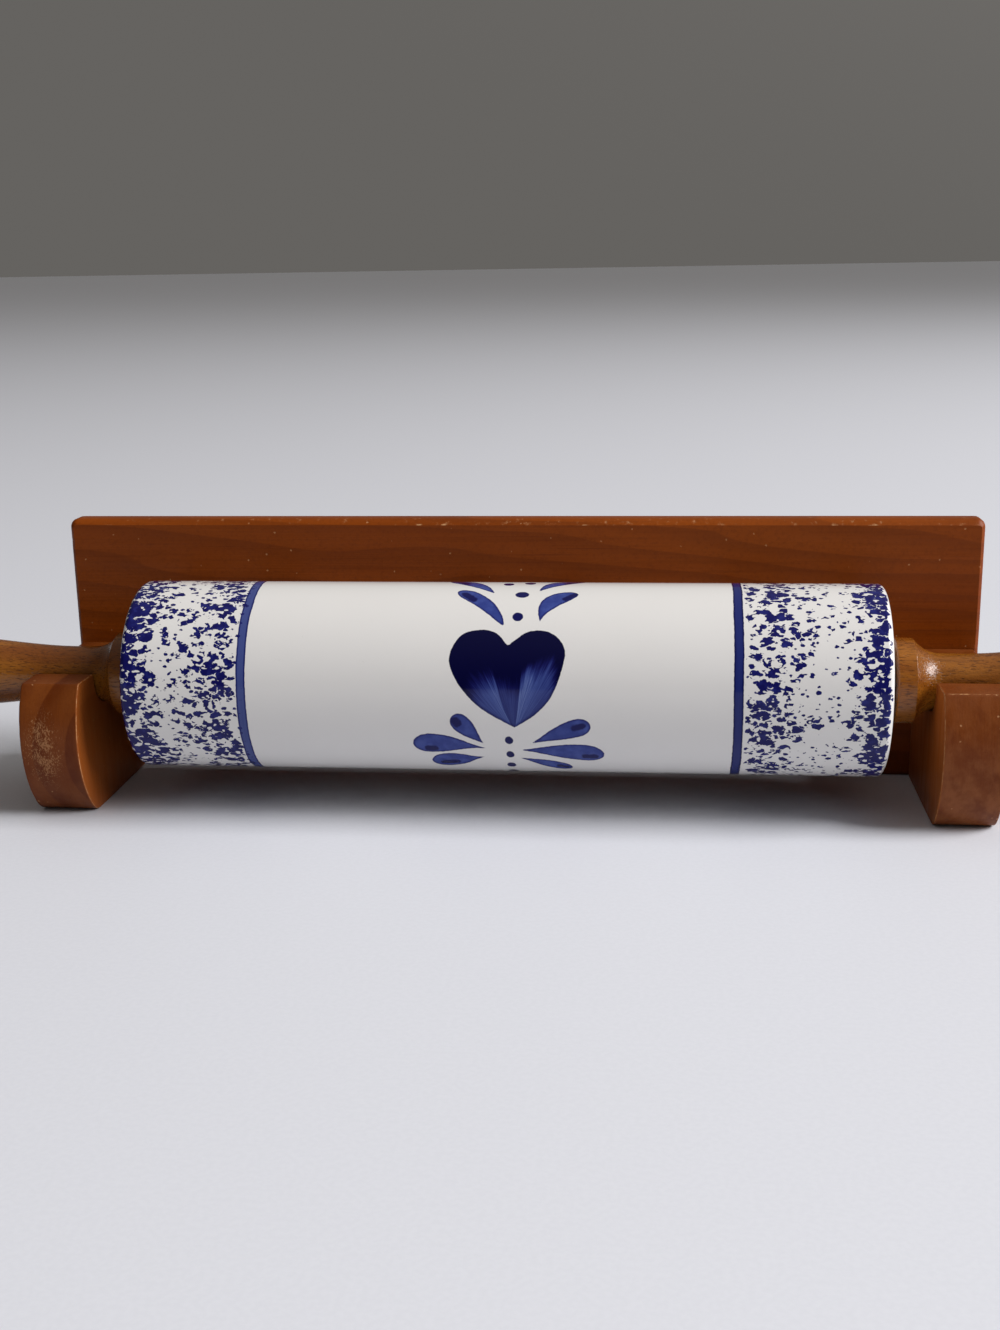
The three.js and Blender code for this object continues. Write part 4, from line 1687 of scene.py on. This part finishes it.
    def cheek_outline(self) -> np.ndarray:
        """Side view of a bracket as (Y, Z): back, flat top, saddle, lip, bowed front and foot.

        The bow is an arc over the chord from lip to toe. Both arcs stop short of the rounds at their ends.

        Returns:
            Anticlockwise closed outline, shape (n, 2).
        """
        back, top, lip, toe = self.board_front - self.gap, self.bracket_top, self.lip, -self.toe_reach
        saddle = self.seat_radius + self.saddle_clearance
        centre = self.axis_z - self.seat_radius - self.gap + saddle
        notch = arc((0.0, centre), saddle, 0.0, -math.pi, steps=50)[2:-2]
        chord = np.array([toe - lip, -top])
        length = float(np.linalg.norm(chord))
        reach = math.sqrt(self.bow_radius ** 2 - length ** 2 / 4)
        bow = np.array([lip, top]) + chord / 2 + np.array([-chord[1], chord[0]]) / length * reach
        start = math.atan2(top - bow[1], lip - bow[0])
        end = math.atan2(-bow[1], toe - bow[0]) + 2 * math.pi
        front = arc(tuple(bow), self.bow_radius, start, end, steps=90)[4:-9]
        return evened(np.vstack([
            filleted((back, 0.0), (0.0, 0.0), (back, top), self.heel_round),
            filleted((back, top), (back, 0.0), (saddle, top), self.heel_round),
            filleted((saddle, top), (back, top), tuple(notch[0]), self.heel_round),
            notch[1:-1],
            filleted((-saddle, top), tuple(notch[-1]), (lip, top), self.mouth_round),
            filleted((lip, top), (-saddle, top), tuple(front[0]), self.lip_round),
            front[:-1],
            filleted((toe, 0.0), tuple(front[-1]), (0.0, 0.0), self.toe_round, steps=12)]), self.bracket_step)

    def cheek_edge(self, sign: int, outer: bool, count: int, rng: np.random.Generator) -> list[np.ndarray]:
        """One eased and knocked edge of a bracket, as rings that run towards +X.

        Args:
            sign: Which of the bracket's two faces the edge is at, along X.
            outer: Whether that face looks away from the barrel.
            count: Points in the bracket's outline.
            rng: Seeded source of dents and unevenness.

        Returns:
            Insets, depths and wear, each of shape (rings, count); on an inner edge the wear is partly
            a painted highlight along the arris.
        """
        half, steps, support = self.bracket_thickness / 2, 7, 0.15
        dents = nicks(count, number=46, width=1.5, rng=rng)
        worn = 0.9 + 0.10 * wander(count, knots=60, rng=rng)
        worn += 0.07 * wander(count, knots=190, rng=rng) + 0.3 * dents
        inset, drop = eased(np.minimum(self.bracket_edge * worn, 1.0), steps)
        # An outer edge is rubbed at its dents; an inner edge gets an even pale line all round, partly wear
        # and partly a painted highlight.
        rub = 0.25 + 0.6 * dents if outer else np.full(count, 0.72)
        rubbed = np.sin(np.linspace(0, np.pi, steps))[:, None] ** 3 * rub
        rings = [np.vstack([inset, inset[-1] + support]),
                 sign * np.vstack([half - drop, np.full((1, count), half)]),
                 np.vstack([rubbed, np.zeros((1, count))])]
        return [ring[::sign] for ring in rings]

    def build_bracket(self, side: Side) -> None:
        """Makes one bracket: its side view carried along X, both edges eased and knocked about.

        Args:
            side: End of the holder.
        """
        left = side is Side.LEFT
        outline = self.cheek_outline()
        count = len(outline)
        rng = np.random.default_rng(self.bracket_seeds[0 if left else 1])
        half = self.bracket_thickness / 2
        lower, upper = (self.cheek_edge(sign, sign == side.value, count, rng) for sign in (-1, 1))
        run = np.linspace(-half, half, 12)[1:-1, None] * np.ones((1, count))
        between = [np.zeros_like(run), run, np.zeros_like(run)]
        insets, depths, wear = (np.vstack(rings) for rings in zip(lower, between, upper))
        away = ((outline - np.array([self.lip, self.bracket_top])) ** 2).sum(axis=1)
        lip_wear = (0.46 if left else 0.64) * np.exp(-away / 0.6)
        cheek = ringed(outline, insets, depths)
        y, z, x = cheek.points.T
        middle = side.value * self.bracket_middle
        cheek.points = np.column_stack([x + middle, y + self.axis_y, z])
        cheek.values["wear"] = np.maximum(wear, lip_wear).reshape(-1)
        finish = self.cheek_finish(side).material()
        name = f"{side.label}_stained_bracket"
        cheek.piece(name, Body.HOLDER, Slot.HOLDER_WOOD, finish, f"{side.label}_bracket")

    def cheek_finish(self, side: Side) -> StainFinish:
        """Stain of one bracket: the left has bold arches and a scratched patch, the right more haze.

        Args:
            side: End of the holder.

        Returns:
            The finish, not yet built.
        """
        middle = side.value * self.bracket_middle * MM
        # Painted light: each bracket's inner face is painted lighter, standing for the light it catches.
        inside = middle - side.value * self.bracket_thickness / 2 * MM
        if side is Side.LEFT:
            own = {"haze": 0.2, "figure": 0.9, "arch": (-0.1155, 0.0, 0.022),
                   "rubbed": (middle - 0.0024, -0.037, 0.025)}
        else:
            own = {"haze": 0.6, "figure": 0.3, "arch": (-0.20, 0.0, -0.33)}
        return StainFinish(f"stained_{side.label}_cheek", Grain.CHEEK, mid=(0.146, 0.032, 0.0042),
                           light=(0.184, 0.046, 0.0068), whole=0.60, inside=inside, **own)

    def build_screw(self, side: Side, level: float, word: str, finish: Material) -> None:
        """Makes one countersunk screw with a cross recess.

        The head's face is a disc of rings whose depth is that of a cross: full where a point is within half a
        slot of either arm, easing out at the arms' ends. Below it are cone, shank with a thread, and tip.

        Args:
            side: End of the holder.
            level: Height of the screw.
            word: Word for that height in its name.
            finish: Its material.
        """
        head, r, length, rise = self.screw_head, self.screw_radius, self.screw_length, self.screw_head_height
        run = np.linspace(self.screw_tip - length, -rise - self.screw_neck, 190)
        shank = np.column_stack([run, r - threaded(run, self.thread_depth, self.thread_pitch)])
        rim = [[1.0 - rise - self.screw_neck, r], [-rise, r], [-0.25, head - 0.1], [-0.08, head],
               [0.0, head - 0.12]]
        rings = 20
        face = np.column_stack([np.zeros(rings), np.linspace(head - 0.3, 0.0, rings)])
        screw = turned(np.vstack([[[-length, 0.0]], shank, rim, face]), sides=72)
        x, y, z = screw.points.T
        on_face = (x > -1e-6) & (np.hypot(y, z) < head - 0.2)
        across, along = np.minimum(np.abs(y), np.abs(z)), np.maximum(np.abs(y), np.abs(z))
        in_slot = np.clip((self.cross_half - across) / 0.18, 0, 1)
        in_arm = np.clip((self.cross_reach - along) / 0.45, 0, 1)
        screw.points[:, 0] -= np.where(on_face, in_slot * in_arm * self.cross_depth, 0.0)
        seat = self.axis_y + self.board_back - self.screw_recess
        placed = screw.along_y().moved(side.value * self.bracket_middle, seat, level)
        name = f"{side.label}_{word}_cross_screw"
        placed.piece(name, Body.HOLDER, Slot.STEEL, finish, f"{side.label}_{word}_screw")

    def build_hanger(self, side: Side, finish: Material) -> None:
        """Makes one saw-tooth hanger: a rounded strip section carried along X.

        Its distance from the board steps up by a smooth joggle, its lower edge is a row of triangles, and its
        ends round off like circles.

        Args:
            side: End of the holder.
            finish: Its material.
        """
        toothed, corner = self.toothed_half, self.hanger_corner
        tab = toothed + self.joggle
        half = tab + self.tab_length
        x = np.unique(np.concatenate([np.linspace(-half, half, 321),
                                      np.linspace(-toothed, toothed, 4 * self.tooth_count + 1)]))
        t = np.clip((tab - np.abs(x)) / self.joggle, 0, 1)
        lift = self.hanger_rise * (3 * t ** 2 - 2 * t ** 3)
        phase = ((x + toothed) / self.tooth_pitch) % 1.0
        teeth = np.where(np.abs(x) < toothed, self.tooth_depth * (1 - np.abs(2 * phase - 1)), 0.0)
        past = np.clip(np.abs(x) - (half - corner), 0, corner)
        draw = corner - np.sqrt(np.clip(corner ** 2 - past ** 2, 0, None))
        low, high = teeth + draw, self.hanger_height - draw
        thick, edge = self.hanger_thickness, self.hanger_edge
        section = [(0.0, low + edge), (edge, low), (thick - edge, low), (thick, low + edge),
                   (thick, high - edge), (thick - edge, high), (edge, high), (0.0, high - edge)]
        grid = np.stack([np.column_stack([x, lift + away, height]) for away, height in section], axis=1)
        number = np.arange(grid[..., 0].size).reshape(len(x), len(section))
        faces = banded(number).tolist() + [number[-1].tolist(), number[0][::-1].tolist()]
        bottom = self.board_height - self.hanger_drop - self.hanger_height
        strip = Surface(grid.reshape(-1, 3), faces).moved(
            side.value * self.hanger_spacing / 2, self.axis_y + self.board_back + self.gap, bottom)
        name = f"{side.label}_saw_tooth_hanger"
        strip.piece(name, Body.HOLDER, Slot.BRASSED, finish, f"{side.label}_hanger")

    def build_hanger_pin(self, side: Side, end: int, word: str, finish: Material) -> None:
        """Makes one round-headed pin: tip, shank and a head that is part of a ball.

        Args:
            side: End of the holder.
            end: Which end of the hanger, along X.
            word: Word for that end in the pin's name.
            finish: Its material.
        """
        length, r, head, rise = self.nail_length, self.nail_radius, self.nail_head, self.nail_head_rise
        tip, edge = 2.0, 0.1
        ball = (head ** 2 + rise ** 2) / (2 * rise)
        angle = np.linspace(math.asin(head / ball), 0.0, 12)
        dome = np.column_stack([rise - ball + ball * np.cos(angle), ball * np.sin(angle)])
        dome[-1, 1] = 0.0
        outline = np.vstack([[[-length, 0.0], [tip - length, r], [0.0, r], [0.0, head - edge]], dome])
        offset = self.toothed_half + self.joggle + self.tab_length / 2
        seat = self.board_back + self.gap + self.hanger_thickness + self.gap
        nail = turned(outline, sides=40).along_y().moved(
            side.value * self.hanger_spacing / 2 + end * offset, self.axis_y + seat,
            self.board_height - self.hanger_drop - self.hanger_height / 2)
        name = f"{side.label}_{word}_hanger_nail"
        nail.piece(name, Body.HOLDER, Slot.BRASSED, finish, f"{side.label}_hanger_{word}_pin")


# The studio


@dataclass(frozen=True)
class Studio:
    """Pale floor, soft window light, sky and the camera of the photograph. Places are in metres.

    Attributes:
        eye: Camera's place.
        yaw: Turn of the view to the right, in degrees.
        pitch: Tilt of the view downwards, in degrees.
        roll: Clockwise turn of the picture's right edge, in degrees.
        lens: Focal length for a picture as wide as film.
        film: Width of the picture in the camera, in millimetres.
        lean: Lean of the sky's bright middle towards the window, in degrees.
        zenith: Light of that middle.
        front: Light of the room behind the camera.
        back: Light of the room behind the object.
        room: Colour of the sky's light.
        window: Place of the window light.
        window_target: Point that it faces.
        window_size: Its width and height.
        window_power: Its power, in watts.
        window_colour: Its colour.
        paper: Darker and lighter colour of the floor.
        floor_half: Half the floor's side.
    """

    eye: Point = (0.05155, -0.51878, 0.18146)
    yaw: float = -6.0069
    pitch: float = 14.4759
    roll: float = 0.9609
    lens: float = 56.22
    film: float = 36.0
    lean: float = 26.0
    zenith: float = 0.39
    front: float = 0.07
    back: float = 0.13
    room: Colour = (1.0, 0.955, 0.895)
    window: Point = (3.72, -0.757, 2.847)
    window_target: Point = (0.0, 0.0, 0.03)
    window_size: tuple[float, float] = (2.25, 2.7)
    window_power: float = 306.0
    window_colour: Colour = (1.0, 0.99, 0.985)
    paper: tuple[Colour, Colour] = ((0.70, 0.715, 0.775), (0.72, 0.735, 0.795))
    floor_half: float = 40.0

    def build(self) -> None:
        """Makes floor, camera, sky and window light."""
        self.build_floor()
        self.build_camera()
        self.build_sky()
        self.build_window()
        bpy.context.scene.view_settings.view_transform = "Standard"

    def build_sky(self) -> None:
        """Makes the sky: light grows with the square of the height over a leaning level, above a dim room."""
        sky = bpy.data.worlds.new("soft_room")
        bench = Bench(sky)
        x, y, z = bench.axes(bench.node("ShaderNodeTexCoord").outputs["Generated"])
        lean = math.radians(self.lean)
        up = bench.times_plus(x, math.sin(lean), bench.times(z, math.cos(lean)))
        over = bench.times(bench.calc("POWER", bench.larger(up, 0.0), 2.0), self.zenith)
        low = bench.ease(y, -0.3, 0.8, self.front, self.back)
        light = bench.step("ShaderNodeBackground", self.room, bench.plus(over, low))
        bench.step("ShaderNodeOutputWorld", light.outputs[0])
        bpy.context.scene.world = sky

    def build_floor(self) -> None:
        """Makes the floor: one large level square with a pale paper finish."""
        bench = Bench.material("pale_paper")
        fleck = bench.noise(700.0, detail=3.0)
        colour = bench.mix(bench.ease(fleck, 0.3, 0.7), *self.paper)
        finish = bench.finished(colour, 0.55, bench.bump(fleck, strength=0.05, depth=0.0002))
        wide = self.floor_half
        corners = [(-wide, -wide, 0.0), (wide, -wide, 0.0), (wide, wide, 0.0), (-wide, wide, 0.0)]
        mesh = bpy.data.meshes.new("floor")
        mesh.from_pydata(corners, [], [(0, 1, 2, 3)])
        mesh.materials.append(finish)
        floor = bpy.data.objects.new("floor", mesh)
        bpy.context.scene.collection.objects.link(floor)

    def build_camera(self) -> None:
        """Makes the camera from its place, yaw, pitch and roll."""
        yaw, pitch, roll = (math.radians(angle) for angle in (self.yaw, self.pitch, self.roll))
        level = math.cos(pitch)
        forward = Vector((math.sin(yaw) * level, math.cos(yaw) * level, -math.sin(pitch)))
        right = Vector((math.cos(yaw), -math.sin(yaw), 0.0))
        down = forward.cross(right)
        across = math.cos(roll) * right + math.sin(roll) * down
        up = math.sin(roll) * right - math.cos(roll) * down
        lens = bpy.data.cameras.new("camera")
        lens.sensor_fit = "HORIZONTAL"
        lens.sensor_width = self.film
        lens.lens = self.lens
        lens.clip_start = 0.01
        camera = bpy.data.objects.new("camera", lens)
        turn = Matrix((across, up, -forward)).transposed().to_4x4()
        camera.matrix_world = Matrix.Translation(self.eye) @ turn
        bpy.context.scene.collection.objects.link(camera)
        bpy.context.scene.camera = camera

    def build_window(self) -> None:
        """Makes the window: one soft rectangular light that faces its target."""
        panel = bpy.data.lights.new("window", "AREA")
        panel.shape = "RECTANGLE"
        panel.size, panel.size_y = self.window_size
        panel.energy = self.window_power
        panel.color = self.window_colour
        lamp = bpy.data.objects.new("window", panel)
        lamp.location = self.window
        toward = Vector(self.window_target) - Vector(self.window)
        lamp.rotation_euler = toward.to_track_quat("-Z", "Y").to_euler()
        bpy.context.scene.collection.objects.link(lamp)


def main() -> None:
    """Builds the studio, the holder and the pin."""
    logging.basicConfig(level=logging.INFO, format="%(name)s %(message)s")
    low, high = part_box("barrel")
    axis_y, axis_z = (low.y + high.y) / 2 / MM, (low.z + high.z) / 2 / MM
    Studio().build()
    Holder(axis_y, axis_z).build()
    Pin(axis_y, axis_z).build()


if __name__ == "__main__":
    main()
